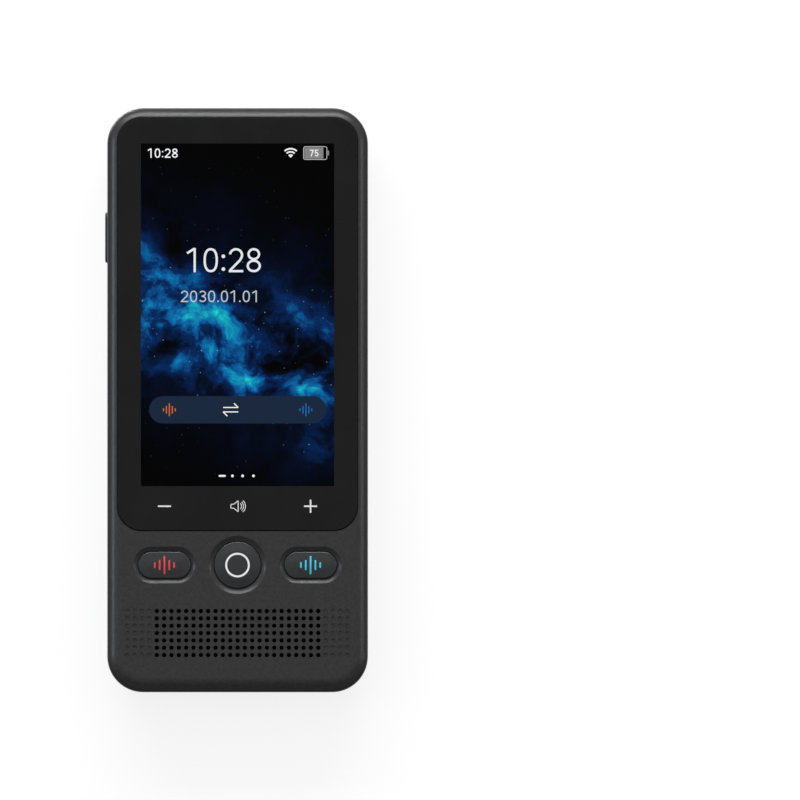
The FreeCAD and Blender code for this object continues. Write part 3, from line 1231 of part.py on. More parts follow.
def make_camera_plate():
    low = plate_z()
    plate = post(0, CAMERA_Y, CAMERA_PLATE_RADIUS, low, low + CAMERA_PLATE_THICKNESS)
    return plate.cut(post(0, CAMERA_Y, CAMERA_WINDOW_RADIUS + CAMERA_FIT, low - MARGIN, FRONT_Z))


def make_camera_window():
    low = plate_z() + CAMERA_WINDOW_RECESS
    return post(0, CAMERA_Y, CAMERA_WINDOW_RADIUS, low, plate_z() + CAMERA_PLATE_THICKNESS)


def module_z():
    return CAMERA_SEAT_HEIGHT + CAMERA_FLANGE_THICKNESS + CAMERA_FIT


def barrel_z():
    return plate_z() + CAMERA_PLATE_THICKNESS + CAMERA_FIT + CAMERA_LENS_GAP


def make_camera_gasket():
    low = plate_z() + CAMERA_PLATE_THICKNESS
    outer = CAMERA_PLATE_RADIUS - CAMERA_SHOULDER - CAMERA_FIT
    ring = post(0, CAMERA_Y, outer, low, module_z())
    return ring.cut(post(0, CAMERA_Y, CAMERA_BARREL_RADIUS + CAMERA_RING_GAP, low - MARGIN, FRONT_Z))


def lens_profile_z():
    """The barrel's front rim and the bottom of the cup that holds the lens."""
    return barrel_z(), barrel_z() + 2 * CAMERA_LENS_CROWN


def make_camera_barrel():
    rim, cup = lens_profile_z()
    barrel = post(0, CAMERA_Y, CAMERA_BARREL_RADIUS, rim, module_z())
    wide = CAMERA_BARREL_RADIUS - 2 * CAMERA_FIT
    seat = cup + CAMERA_LENS_CROWN
    steps = [
        [(0, rim - MARGIN)], [(wide, rim - MARGIN)], [(wide, rim)], [(CAMERA_LENS_RADIUS, cup - CAMERA_FIT)],
        [(CAMERA_LENS_RADIUS, seat)], [(0, seat)],
    ]
    mouth = long_turned(steps, 0, CAMERA_Y, 0)
    return barrel.cut(mouth)


def make_camera_lens():
    """A glass lens whose bulged face looks out of the back."""
    _, cup = lens_profile_z()
    radius = CAMERA_LENS_RADIUS
    front = cup - CAMERA_LENS_CROWN
    return long_turned([[(0, front)], [(radius * 0.6, front), (radius, cup)],
                        [(radius, cup + CAMERA_LENS_CROWN)], [(0, cup + CAMERA_LENS_CROWN)]], 0, CAMERA_Y, 0)


def make_camera_module():
    half = CAMERA_MODULE_SIDE / 2
    return rounded_prism(-half, half, CAMERA_Y - half, CAMERA_Y + half, RIB_WALL, module_z(),
                         BOARD_Z - CAMERA_BOARD_GAP)


def make_camera_strip():
    z = BOARD_Z - CONNECTOR_HEIGHT / 2
    start = CAMERA_Y - CAMERA_MODULE_SIDE / 2
    return strip([(start, z), (camera_socket_ends()[1], z)], -CAMERA_STRIP_WIDTH / 2, CAMERA_STRIP_WIDTH / 2)


def make_rear_microphone():
    x, y = REAR_MIC_PLACE
    return box(x - MIC_LENGTH / 2, x + MIC_LENGTH / 2, y - MIC_WIDTH / 2, y + MIC_WIDTH / 2,
               BOARD_Z - MIC_THICKNESS, BOARD_Z)


def make_rear_mic_boot():
    x, y = REAR_MIC_PLACE
    high = BOARD_Z - MIC_THICKNESS
    return post(x, y, BOOT_RADIUS, REAR_WALL, high).cut(post(x, y, BOOT_BORE_RADIUS, 0, BODY_DEPTH))


def lower_mic_front():
    """Where the lower microphone's boot ends and the microphone begins, along Y."""
    return -INNER_HALF_LENGTH + LOWER_BOOT_DEPTH


def make_lower_mic_boot():
    half = LOWER_BOOT_WIDTH / 2
    half_height = LOWER_BOOT_HEIGHT / 2
    boot = box(LOWER_MIC_X - half, LOWER_MIC_X + half, -INNER_HALF_LENGTH, lower_mic_front(),
               LOWER_MIC_Z - half_height, LOWER_MIC_Z + half_height)
    start = V(LOWER_MIC_X, -BODY_LENGTH, LOWER_MIC_Z)
    return boot.cut(Part.makeCylinder(BOOT_BORE_RADIUS, BODY_LENGTH, start, V(0, 1, 0)))


def make_lower_microphone():
    half = MIC_LENGTH / 2
    start = lower_mic_front()
    return box(LOWER_MIC_X - half, LOWER_MIC_X + half, start, start + MIC_THICKNESS,
               LOWER_MIC_Z - MIC_WIDTH / 2, LOWER_MIC_Z + MIC_WIDTH / 2)


def make_lower_mic_strip():
    """From the lower microphone's back, under the speaker's edge and up to the key board."""
    start = lower_mic_front() + MIC_THICKNESS + STRIP_THICKNESS / 2
    under_z = SPEAKER_Z - NOTCH_CLEARANCE
    turn_y = GRILLE_LINE + SPEAKER_HEIGHT / 2 + SPEAKER_FIT + RIB_WALL + NOTCH_CLEARANCE / 2
    socket_z = KEY_BOARD_Z - CONNECTOR_HEIGHT / 2
    points = [(start, LOWER_MIC_Z), (start, under_z), (turn_y, under_z), (turn_y, socket_z),
              (mic_socket_y(), socket_z)]
    return strip(points, *MIC_STRIP)


def make_aerial():
    return box(*AERIAL_SIDES, AERIAL_BOTTOM, AERIAL_TOP, REAR_WALL, REAR_WALL + AERIAL_THICKNESS)


def make_aerial_spring():
    """A bent leaf that stands on the board and presses on the aerial: a foot, a slope and a tip."""
    y = AERIAL_BOTTOM + AERIAL_SPRING_UP
    length = AERIAL_SPRING_LENGTH
    sheet = AERIAL_SPRING_SHEET
    low = REAR_WALL + AERIAL_THICKNESS
    outline = [
        (y, BOARD_Z), (y + length, BOARD_Z), (y + length, BOARD_Z - sheet),
        (y + 2 * sheet, BOARD_Z - sheet), (y + length, low + sheet), (y + length, low),
        (y + length - 3 * sheet, low), (y, BOARD_Z - 2 * sheet),
    ]
    x = (sum(AERIAL_SIDES) - AERIAL_SPRING_WIDTH) / 2
    ring = [V(x, a, b) for a, b in outline]
    return Part.Face(Part.makePolygon(ring + ring[:1])).extrude(V(AERIAL_SPRING_WIDTH, 0, 0))


def make_power_key():
    """A pill that slides in the left wall, with a flange that keeps it in and a post for the switch."""
    outer = -HALF_WIDTH - POWER_KEY_PROUD
    inner = -INNER_HALF_WIDTH + KEY_FLANGE_GAP
    height = POWER_KEY_HEIGHT
    radius = height / 2
    pill = long_turned(
        [[(0, 0)], [(radius - POWER_KEY_ROUND, 0)], [(radius, 0), (radius, POWER_KEY_ROUND)],
         [(radius, inner - outer)], [(0, inner - outer)]],
        0, 0, POWER_KEY_LENGTH - height,
    )
    pill.rotate(V(0, 0, 0), V(0, 0, 1), 90)
    pill.rotate(V(0, 0, 0), V(0, 1, 0), 90)
    pill.translate(V(outer, POWER_KEY_Y, POWER_KEY_Z))
    out = POWER_FLANGE_OUT
    reach = POWER_KEY_LENGTH / 2 + out
    flange_x = inner + POWER_FLANGE_THICKNESS
    flange = box(inner, flange_x, POWER_KEY_Y - reach, POWER_KEY_Y + reach,
                 POWER_KEY_Z - radius - out, POWER_KEY_Z + radius + out)
    half = POWER_POST_SIDE / 2
    stub = box(inner, flange_x + POWER_POST_LENGTH, POWER_KEY_Y - half, POWER_KEY_Y + half,
               POWER_KEY_Z - half, POWER_KEY_Z + half)
    return pill.fuse([flange, stub])


def switch_x():
    """The switch's left face."""
    return switch_board_x() - SWITCH_DEPTH


def make_power_switch():
    """The switch's block, with the bore that its plunger moves in."""
    half = SWITCH_LENGTH / 2
    block = box(switch_x(), switch_board_x(), POWER_KEY_Y - half, POWER_KEY_Y + half,
                POWER_KEY_Z - SWITCH_HEIGHT / 2, POWER_KEY_Z + SWITCH_HEIGHT / 2)
    depth = PLUNGER_IN + POWER_KEY_TRAVEL + PLUNGER_GAP
    return block.cut(plunger_bar(PLUNGER_RADIUS + PLUNGER_GAP, switch_x() - MARGIN, switch_x() + depth))


def make_power_switch_plunger():
    return plunger_bar(PLUNGER_RADIUS, switch_x() - PLUNGER_OUT, switch_x() + PLUNGER_IN)


def plunger_bar(radius, x_low, x_high):
    return Part.makeCylinder(radius, x_high - x_low, V(x_low, POWER_KEY_Y, POWER_KEY_Z), V(1, 0, 0))


def make_power_switch_board():
    """The switch's own upright board, with a flat tail that lies on the main board."""
    half = SWITCH_BOARD_LENGTH / 2
    x = switch_board_x()
    board = box(x, x + SWITCH_BOARD_THICKNESS, POWER_KEY_Y - half, POWER_KEY_Y + half,
                POWER_KEY_Z - SWITCH_BOARD_HEIGHT / 2, POWER_KEY_Z + SWITCH_BOARD_HEIGHT / 2)
    half_tail = SWITCH_TAIL_WIDTH / 2
    tail = box(x, power_key_notch_x() + SWITCH_TAIL_LAP, POWER_KEY_Y - half_tail, POWER_KEY_Y + half_tail,
               BOARD_TOP_Z, BOARD_TOP_Z + STRIP_THICKNESS)
    return board.fuse(tail)


def make_parts():
    """Every sub-part by name."""
    left_cap, left_mark = make_talk_key(-TALK_KEY_X)
    right_cap, right_mark = make_talk_key(TALK_KEY_X)
    home_cap, home_mark = make_home_key()
    frame_screws = [screw(x, y, FRAME_Z, frame_screw_tip())
                    for x, y in mirrored_places(FRAME_SCREW_X, FRAME_SCREW_PLACES)]
    board_screws = [screw(x, y, BOARD_Z, board_screw_tip()) for x, y in BOARD_SCREW_PLACES]
    key_screws = [screw(x, y, KEY_BOARD_Z, key_screw_tip()) for x, y in KEY_SCREW_PLACES]
    return {
        "front_cover": make_front_cover(),
        "rear_cover": make_rear_cover(),
        "cover_glass": make_cover_glass(),
        "glass_adhesive": make_glass_adhesive(),
        "display_panel": panel_prism(0, PANEL_Z, PANEL_Z + PANEL_THICKNESS),
        "light_guide": panel_prism(0, GUIDE_Z, PANEL_Z),
        "backlight_tray": make_backlight_tray(),
        "display_strip": make_display_strip(),
        "mid_frame": make_mid_frame(),
        "frame_screws": Part.makeCompound(frame_screws),
        "main_board": make_main_board(),
        "board_screws": Part.makeCompound(board_screws),
        "processor_shield": make_shield(PROCESSOR_SHIELD_IN - BOARD_HALF_WIDTH, PROCESSOR_SHIELD_END,
                                        PROCESSOR_SHIELD_DOWN),
        "radio_shield": make_shield(RADIO_SHIELD_END, BOARD_HALF_WIDTH - RADIO_SHIELD_IN, RADIO_SHIELD_DOWN),
        "board_chips": make_board_chips(),
        "board_sockets": make_board_sockets(),
        "charging_port_shell": make_port_shell(),
        "charging_port_tongue": make_port_tongue(),
        "battery_cell": make_battery_cell(),
        "battery_tape": make_battery_tape(),
        "battery_circuit": make_battery_circuit(),
        "battery_lead": make_battery_lead(),
        "link_strip": make_link_strip(),
        "key_board": make_key_board(),
        "key_board_screws": Part.makeCompound(key_screws),
        "key_board_sockets": make_key_board_sockets(),
        "left_key_dome": make_dome(-TALK_KEY_X),
        "home_key_dome": make_dome(0),
        "right_key_dome": make_dome(TALK_KEY_X),
        "left_talk_key": left_cap,
        "left_key_mark": left_mark,
        "home_key": home_cap,
        "home_key_mark": home_mark,
        "right_talk_key": right_cap,
        "right_key_mark": right_mark,
        "speaker_frame": make_speaker_frame(),
        "speaker_cone": make_speaker_cone(),
        "speaker_magnet": make_speaker_magnet(),
        "speaker_gasket": make_speaker_gasket(),
        "speaker_leads": make_speaker_leads(),
        "grille_mesh": make_grille_mesh(),
        "camera_ring": make_camera_ring(),
        "camera_plate": make_camera_plate(),
        "camera_window": make_camera_window(),
        "camera_lens": make_camera_lens(),
        "camera_barrel": make_camera_barrel(),
        "camera_gasket": make_camera_gasket(),
        "camera_module": make_camera_module(),
        "camera_strip": make_camera_strip(),
        "rear_microphone": make_rear_microphone(),
        "rear_mic_boot": make_rear_mic_boot(),
        "lower_microphone": make_lower_microphone(),
        "lower_mic_boot": make_lower_mic_boot(),
        "lower_mic_strip": make_lower_mic_strip(),
        "aerial": make_aerial(),
        "aerial_spring": make_aerial_spring(),
        "power_key": make_power_key(),
        "power_switch": make_power_switch(),
        "power_switch_plunger": make_power_switch_plunger(),
        "power_switch_board": make_power_switch_board(),
    }


def main():
    os.makedirs("parts", exist_ok=True)
    for name, shape in make_parts().items():
        shape.exportStep(os.path.join("parts", name + ".step"))
        print(f"{name}: {len(shape.Solids)} solids, {shape.Volume:.1f} mm3, valid {shape.isValid()}")


main()
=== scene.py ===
"""A handheld translator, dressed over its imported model: finishes, lit screen, printed marks and studio."""

import logging
import math
from dataclasses import dataclass, field
from enum import Enum
from typing import Any, ClassVar, Sequence

import bmesh
import bpy
import numpy as np
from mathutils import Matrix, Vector

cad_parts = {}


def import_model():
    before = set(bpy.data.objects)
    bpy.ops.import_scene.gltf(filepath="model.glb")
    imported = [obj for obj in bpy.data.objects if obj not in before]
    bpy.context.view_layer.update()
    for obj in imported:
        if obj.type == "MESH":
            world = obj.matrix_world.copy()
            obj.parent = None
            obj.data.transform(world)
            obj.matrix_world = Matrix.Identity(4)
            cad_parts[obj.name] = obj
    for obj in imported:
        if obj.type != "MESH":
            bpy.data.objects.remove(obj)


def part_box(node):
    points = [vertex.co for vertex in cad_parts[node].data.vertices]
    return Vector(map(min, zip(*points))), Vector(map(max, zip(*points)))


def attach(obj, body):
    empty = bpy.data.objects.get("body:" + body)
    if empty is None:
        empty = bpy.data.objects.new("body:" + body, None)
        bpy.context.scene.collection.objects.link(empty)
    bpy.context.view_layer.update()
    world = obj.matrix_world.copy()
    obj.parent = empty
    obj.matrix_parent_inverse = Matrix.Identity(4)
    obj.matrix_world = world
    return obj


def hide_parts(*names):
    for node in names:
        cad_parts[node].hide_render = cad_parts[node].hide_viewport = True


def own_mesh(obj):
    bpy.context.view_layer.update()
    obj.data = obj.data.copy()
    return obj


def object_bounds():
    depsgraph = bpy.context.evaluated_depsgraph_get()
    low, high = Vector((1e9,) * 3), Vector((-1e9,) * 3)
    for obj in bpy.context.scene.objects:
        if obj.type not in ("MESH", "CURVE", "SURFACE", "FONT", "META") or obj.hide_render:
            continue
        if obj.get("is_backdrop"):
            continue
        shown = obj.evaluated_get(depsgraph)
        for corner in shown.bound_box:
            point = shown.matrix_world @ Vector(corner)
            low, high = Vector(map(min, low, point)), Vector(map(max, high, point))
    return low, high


log = logging.getLogger("translator")

MM = 0.001


class Body(Enum):
    """The parts of the device that move on their own."""

    CASING = "casing"
    LEFT_KEY = "left_key"
    HOME = "home"
    RIGHT_KEY = "right_key"
    POWER = "power"


class Spread(Enum):
    """How a pattern of marks left by a tool lies on a metal."""

    EVEN = "even"
    ALONG_X = "along x"
    RINGS = "rings"


def linear(hex_colour: str) -> tuple[float, float, float, float]:
    """Turn an sRGB hex colour to the linear colour that a shader takes.

    Args:
        hex_colour: Six hexadecimal digits, with or without a leading hash.

    Returns:
        Red, green, blue and an alpha of 1.
    """
    digits = hex_colour.lstrip("#")
    shares = np.array([int(digits[i:i + 2], 16) for i in (0, 2, 4)]) / 255
    curve = np.where(shares <= 0.04045, shares / 12.92, ((shares + 0.055) / 1.055) ** 2.4)
    return float(curve[0]), float(curve[1]), float(curve[2]), 1.0


def per_mm(length: float) -> float:
    """Give the texture scale at which a noise cell is so many millimetres wide."""
    return 1 / (length * MM)


def add_node(tree: bpy.types.NodeTree, kind: str, settings: dict[str, Any] | None = None,
             inputs: dict[str | int, Any] | None = None) -> bpy.types.Node:
    """Add a node, set its properties and fill or link its inputs.

    Args:
        tree: The node tree that gets it.
        kind: The node's type name after ShaderNode.
        settings: Properties of the node by name.
        inputs: Values by socket name or number. An output socket is linked.

    Returns:
        The new node.
    """
    node = tree.nodes.new("ShaderNode" + kind)
    for name, value in (settings or {}).items():
        setattr(node, name, value)
    for name, value in (inputs or {}).items():
        if isinstance(value, bpy.types.NodeSocket):
            tree.links.new(value, node.inputs[name])
        else:
            node.inputs[name].default_value = value
    return node


def set_ramp(node: bpy.types.Node, stops: Sequence[tuple[float, str]]) -> None:
    """Give a colour ramp its stops.

    Args:
        node: The Color Ramp node.
        stops: Positions from 0 to 1 with sRGB hex colours, in order.
    """
    elements = node.color_ramp.elements
    while len(elements) < len(stops):
        elements.new(0.5)
    for element, (position, colour) in zip(elements, stops):
        element.position = position
        element.color = linear(colour)


@dataclass(frozen=True)
class Finish:
    """A surface, as its maker would order it: each kind of finish fills in its own nodes."""

    name: str
    made: ClassVar[dict[str, bpy.types.Material]] = {}

    def material(self) -> bpy.types.Material:
        """Make the material on first use and give the same one after that.

        Returns:
            The material.
        """
        if self.name not in self.made:
            made = bpy.data.materials.new(self.name)
            made.use_nodes = True
            tree = made.node_tree
            tree.nodes.clear()
            place = add_node(tree, "TexCoord").outputs["Object"]
            shader = add_node(tree, "BsdfPrincipled")
            self.fill(tree, shader, place)
            add_node(tree, "OutputMaterial", inputs={"Surface": shader.outputs["BSDF"]})
            self.made[self.name] = made
        return self.made[self.name]

    def fill(self, tree: bpy.types.NodeTree, shader: bpy.types.Node, place: bpy.types.NodeSocket) -> None:
        """Set the shader's sockets and link the finish's patterns to it.

        Args:
            tree: The material's node tree.
            shader: Its main shader.
            place: Where on the object the surface is.
        """
        raise NotImplementedError


def mottle(tree: bpy.types.NodeTree, shader: bpy.types.Node, place: bpy.types.NodeSocket, size: float,
           colours: tuple[str, str], rough: tuple[float, float]) -> bpy.types.Node:
    """Vary a surface's colour and roughness by one noise, between two values each.

    Args:
        tree: The node tree.
        shader: The Principled shader.
        place: Where on the object the surface is.
        size: The noise's cell in millimetres.
        colours: The two sRGB hex colours.
        rough: The two roughness values.

    Returns:
        The noise node, for a bump of the same cells.
    """
    noise = add_node(tree, "TexNoise", inputs={"Vector": place, "Scale": per_mm(size), "Detail": 3.0})
    ramp = add_node(tree, "ValToRGB", inputs={"Fac": noise.outputs["Fac"]})
    set_ramp(ramp, [(0.35, colours[0]), (0.65, colours[1])])
    tree.links.new(ramp.outputs["Color"], shader.inputs["Base Color"])
    spread = add_node(tree, "MapRange", inputs={"Value": noise.outputs["Fac"], "From Min": 0.3,
                                                "From Max": 0.7, "To Min": rough[0], "To Max": rough[1]})
    tree.links.new(spread.outputs["Result"], shader.inputs["Roughness"])
    return noise


def emboss(tree: bpy.types.NodeTree, shader: bpy.types.Node, height: bpy.types.NodeSocket,
           depth: float) -> None:
    """Raise a pattern out of the surface.

    Args:
        tree: The node tree.
        shader: The Principled shader.
        height: The pattern, from 0 to 1.
        depth: How high 1 stands, in millimetres.
    """
    bump = add_node(tree, "Bump", inputs={"Height": height, "Distance": depth * MM, "Strength": 1.0})
    tree.links.new(bump.outputs["Normal"], shader.inputs["Normal"])


def from_axis(tree: bpy.types.NodeTree, place: bpy.types.NodeSocket,
              centre: tuple[float, float]) -> bpy.types.NodeSocket:
    """Measure the distance from an upright axis.

    Args:
        tree: The node tree.
        place: Where on the object the surface is.
        centre: The axis's place in millimetres.

    Returns:
        The length of the flat vector from the axis, in metres.
    """
    centred = add_node(tree, "VectorMath", {"operation": "SUBTRACT"},
                       {0: place, 1: (centre[0] * MM, centre[1] * MM, 0.0)})
    flat = add_node(tree, "VectorMath", {"operation": "MULTIPLY"},
                    {0: centred.outputs[0], 1: (1.0, 1.0, 0.0)})
    return add_node(tree, "VectorMath", {"operation": "LENGTH"}, {0: flat.outputs[0]}).outputs["Value"]


@dataclass(frozen=True)
class SparkTexturedPlastic(Finish):
    """Moulded ABS from a spark-eroded tool: matt, with a fine even grain that breaks up every highlight."""

    colours: tuple[str, str] = ("#313132", "#383839")
    grain: float = 0.28
    grain_depth: float = 0.006
    roughness: tuple[float, float] = (0.46, 0.56)
    edge_roughness: float = 0.3
    gloss: float = 0.4
    tone_spread: float = 2.4

    def fill(self, tree: bpy.types.NodeTree, shader: bpy.types.Node, place: bpy.types.NodeSocket) -> None:
        """Gives the flat face its grain, and a worn gloss where the surface curves away from it.

        The real grain is about 0.05 mm across, and is drawn coarser to show.

        Args:
            tree: The material's node tree.
            shader: Its main shader.
            place: Where on the object the surface is.
        """
        shader.inputs["IOR"].default_value = 1.5
        shader.inputs["Specular IOR Level"].default_value = self.gloss
        mottle(tree, shader, place, self.grain * self.tone_spread, self.colours, self.roughness)
        textured = shader.inputs["Roughness"].links[0].from_socket
        normal = add_node(tree, "NewGeometry").outputs["Normal"]
        facing = add_node(tree, "SeparateXYZ", inputs={"Vector": normal})
        tilt = add_node(tree, "Math", {"operation": "ABSOLUTE"}, {0: facing.outputs["Z"]})
        polish = add_node(tree, "MapRange", inputs={"Value": tilt.outputs[0], "From Min": 0.98,
                                                    "From Max": 0.85})
        worn = add_node(tree, "Mix", {"data_type": "FLOAT"}, {"Factor": polish.outputs["Result"], 2: textured,
                                                              3: self.edge_roughness})
        tree.links.new(worn.outputs[0], shader.inputs["Roughness"])
        grain = add_node(tree, "TexNoise", inputs={"Vector": place, "Scale": per_mm(self.grain),
                                                   "Detail": 2.0})
        emboss(tree, shader, grain.outputs["Fac"], self.grain_depth)


@dataclass(frozen=True)
class SprayedSatinPaint(Finish):
    """Metallic spray paint on ABS: satin, with fine flakes and a faint orange peel.

    The peel softens reflections. The real flakes are about 0.02 mm across, and are drawn coarser to show.
    """

    colours: tuple[str, str] = ("#8b8d91", "#8f9195")
    flake_colour: str = "#b4b7bc"
    flake: float = 0.12
    peel: float = 1.6
    peel_depth: float = 0.004
    roughness: tuple[float, float] = (0.36, 0.42)
    metallic: float = 0.8
    tone_drift: float = 6.0

    def fill(self, tree: bpy.types.NodeTree, shader: bpy.types.Node, place: bpy.types.NodeSocket) -> None:
        """Scatters the flakes by a cell noise over a slow change of tone.

        Args:
            tree: The material's node tree.
            shader: Its main shader.
            place: Where on the object the surface is.
        """
        shader.inputs["IOR"].default_value = 1.5
        shader.inputs["Metallic"].default_value = self.metallic
        drift = add_node(tree, "TexNoise", inputs={"Vector": place, "Scale": per_mm(self.tone_drift),
                                                   "Detail": 2.0})
        tone = add_node(tree, "ValToRGB", inputs={"Fac": drift.outputs["Fac"]})
        set_ramp(tone, [(0.3, self.colours[0]), (0.7, self.colours[1])])
        cells = add_node(tree, "TexVoronoi", inputs={"Vector": place, "Scale": per_mm(self.flake)})
        lucky = add_node(tree, "MapRange", inputs={"Value": cells.outputs["Color"], "From Min": 0.72,
                                                   "From Max": 1.0, "To Min": 0.0, "To Max": 0.55})
        mixed = add_node(tree, "Mix", {"data_type": "RGBA"},
                         {"Factor": lucky.outputs["Result"], 6: tone.outputs["Color"],
                          7: linear(self.flake_colour)})
        tree.links.new(mixed.outputs[2], shader.inputs["Base Color"])
        spread = add_node(tree, "MapRange", inputs={"Value": cells.outputs["Color"],
                                                    "To Min": self.roughness[0], "To Max": self.roughness[1]})
        tree.links.new(spread.outputs["Result"], shader.inputs["Roughness"])
        peel = add_node(tree, "TexNoise", inputs={"Vector": place, "Scale": per_mm(self.peel), "Detail": 1.0})
        emboss(tree, shader, peel.outputs["Fac"], self.peel_depth)


@dataclass(frozen=True)
class WorkedMetal(Finish):
    """A metal part as stamped, turned, cast or plated: its tool marks set how its highlight spreads."""

    colours: tuple[str, str] = ("#9a9c9f", "#a6a8ab")
    marks: Spread = Spread.EVEN
    mark_spacing: float = 0.25
    mark_depth: float = 0.002
    roughness: tuple[float, float] = (0.26, 0.36)
    centre: tuple[float, float] = (0.0, 0.0)
    stretch: float = 25.0

    def fill(self, tree: bpy.types.NodeTree, shader: bpy.types.Node, place: bpy.types.NodeSocket) -> None:
        """Stretches the noise along X for rolled stock, or reads it by radius for a turned face.

        Args:
            tree: The material's node tree.
            shader: Its main shader.
            place: Where on the object the surface is.
        """
        shader.inputs["Metallic"].default_value = 1.0
        vector = place
        if self.marks is Spread.ALONG_X:
            stretched = add_node(tree, "Mapping", inputs={"Vector": place,
                                                          "Scale": (1 / self.stretch, 1.0, 1.0)})
            vector = stretched.outputs["Vector"]
        if self.marks is Spread.RINGS:
            radius = from_axis(tree, place, self.centre)
            vector = add_node(tree, "CombineXYZ", inputs={"X": radius}).outputs["Vector"]
        noise = mottle(tree, shader, vector, self.mark_spacing, self.colours, self.roughness)
        emboss(tree, shader, noise.outputs["Fac"], self.mark_depth)


@dataclass(frozen=True)
class SolderMask(Finish):
    """Fibreglass laminate under a solder mask: glossy, with the copper's tracks showing as a paler tone."""

    colours: tuple[str, str] = ("#123a2c", "#1a4b38")
    track_pitch: float = 0.9
    roughness: tuple[float, float] = (0.28, 0.38)
    copper: float = 0.035

    def fill(self, tree: bpy.types.NodeTree, shader: bpy.types.Node, place: bpy.types.NodeSocket) -> None:
        """Draws the tracks as the borders of square cells and raises them by the copper's thickness.

        Args:
            tree: The material's node tree.
            shader: Its main shader.
            place: Where on the object the surface is.
        """
        cells = add_node(tree, "TexVoronoi", {"distance": "CHEBYCHEV"},
                         {"Vector": place, "Scale": per_mm(self.track_pitch), "Randomness": 0.8})
        ramp = add_node(tree, "ValToRGB", inputs={"Fac": cells.outputs["Distance"]})
        set_ramp(ramp, [(0.38, self.colours[0]), (0.46, self.colours[1])])
        tree.links.new(ramp.outputs["Color"], shader.inputs["Base Color"])
        spread = add_node(tree, "MapRange", inputs={"Value": cells.outputs["Distance"],
                                                    "To Min": self.roughness[0], "To Max": self.roughness[1]})
        tree.links.new(spread.outputs["Result"], shader.inputs["Roughness"])
        emboss(tree, shader, cells.outputs["Distance"], self.copper)


@dataclass(frozen=True)
class Film(Finish):
    """Thin polymer film or moulded sheet: smooth, with faint ripples from lying over what is under it."""

    colours: tuple[str, str] = ("#1a1a1b", "#222223")
    ripple: float = 2.5
    ripple_depth: float = 0.02
    roughness: tuple[float, float] = (0.3, 0.42)

    def fill(self, tree: bpy.types.NodeTree, shader: bpy.types.Node, place: bpy.types.NodeSocket) -> None:
        """One slow noise gives both the tone and the ripples.

        Args:
            tree: The material's node tree.
            shader: Its main shader.
            place: Where on the object the surface is.
        """
        shader.inputs["IOR"].default_value = 1.5
        noise = mottle(tree, shader, place, self.ripple, self.colours, self.roughness)
        emboss(tree, shader, noise.outputs["Fac"], self.ripple_depth)


@dataclass(frozen=True)
class WovenMesh(Finish):
    """Acoustic cloth woven of black polyester: the crossing threads leave a fine square net."""

    thread: str = "#101011"
    gap: str = "#020202"
    pitch: float = 0.16
    thread_height: float = 0.03
    roughness: float = 0.85

    def fill(self, tree: bpy.types.NodeTree, shader: bpy.types.Node, place: bpy.types.NodeSocket) -> None:
        """Takes the greater of a sine across X and one across Y, so that threads and gaps alternate.

        Args:
            tree: The material's node tree.
            shader: Its main shader.
            place: Where on the object the surface is.
        """
        shader.inputs["IOR"].default_value = 1.5
        shader.inputs["Roughness"].default_value = self.roughness
        turns = 2 * math.pi / (self.pitch * MM)
        parts = add_node(tree, "SeparateXYZ", inputs={"Vector": place})
        waves = []
        for axis in ("X", "Y"):
            angle = add_node(tree, "Math", {"operation": "MULTIPLY"}, {0: parts.outputs[axis], 1: turns})
            sine = add_node(tree, "Math", {"operation": "SINE"}, {0: angle.outputs[0]})
            waves.append(sine.outputs[0])
        crossing = add_node(tree, "Math", {"operation": "MAXIMUM"}, {0: waves[0], 1: waves[1]})
        ramp = add_node(tree, "ValToRGB", inputs={"Fac": crossing.outputs[0]})
        set_ramp(ramp, [(0.1, self.gap), (0.6, self.thread)])
        tree.links.new(ramp.outputs["Color"], shader.inputs["Base Color"])
        emboss(tree, shader, crossing.outputs[0], self.thread_height)


@dataclass(frozen=True)
class PrintedInk(Finish):
    """Screen-printed ink or a second-shot plastic mark: flat, with the ink's slightly uneven cover."""

    colours: tuple[str, str] = ("#dededf", "#f2f2f3")
    grain: float = 0.2
    roughness: tuple[float, float] = (0.35, 0.5)
    glow: float = 0.0
    grain_depth: float = 0.002

    def fill(self, tree: bpy.types.NodeTree, shader: bpy.types.Node, place: bpy.types.NodeSocket) -> None:
        """A mark over a lamp also glows a little in its own colour.

        Args:
            tree: The material's node tree.
            shader: Its main shader.
            place: Where on the object the surface is.
        """
        noise = mottle(tree, shader, place, self.grain, self.colours, self.roughness)
        emboss(tree, shader, noise.outputs["Fac"], self.grain_depth)
        if self.glow:
            shader.inputs["Emission Color"].default_value = linear(self.colours[1])
            shader.inputs["Emission Strength"].default_value = self.glow


@dataclass(frozen=True)
class LitPixels(Finish):
    """Pixels of the display that are on: their own light hides the surface, but for a faint pixel grid."""

    colour: str = "#ffffff"
    strength: float = 1.0
    pixel: float = 0.12
    dimming: float = 0.12
    roughness: float = 0.06

    def fill(self, tree: bpy.types.NodeTree, shader: bpy.types.Node, place: bpy.types.NodeSocket) -> None:
        """Dims the light towards each pixel's border.

        Args:
            tree: The material's node tree.
            shader: Its main shader.
            place: Where on the object the surface is.
        """
        shader.inputs["Base Color"].default_value = linear("#000000")
        shader.inputs["Roughness"].default_value = self.roughness
        shader.inputs["IOR"].default_value = 1.5
        shader.inputs["Emission Color"].default_value = linear(self.colour)
        cells = add_node(tree, "TexVoronoi", {"distance": "CHEBYCHEV"},
                         {"Vector": place, "Scale": per_mm(self.pixel), "Randomness": 0.0})
        level = add_node(tree, "MapRange", inputs={"Value": cells.outputs["Distance"], "From Max": 0.5,
                                                   "To Min": self.strength,
                                                   "To Max": self.strength * (1 - self.dimming)})
        tree.links.new(level.outputs["Result"], shader.inputs["Emission Strength"])


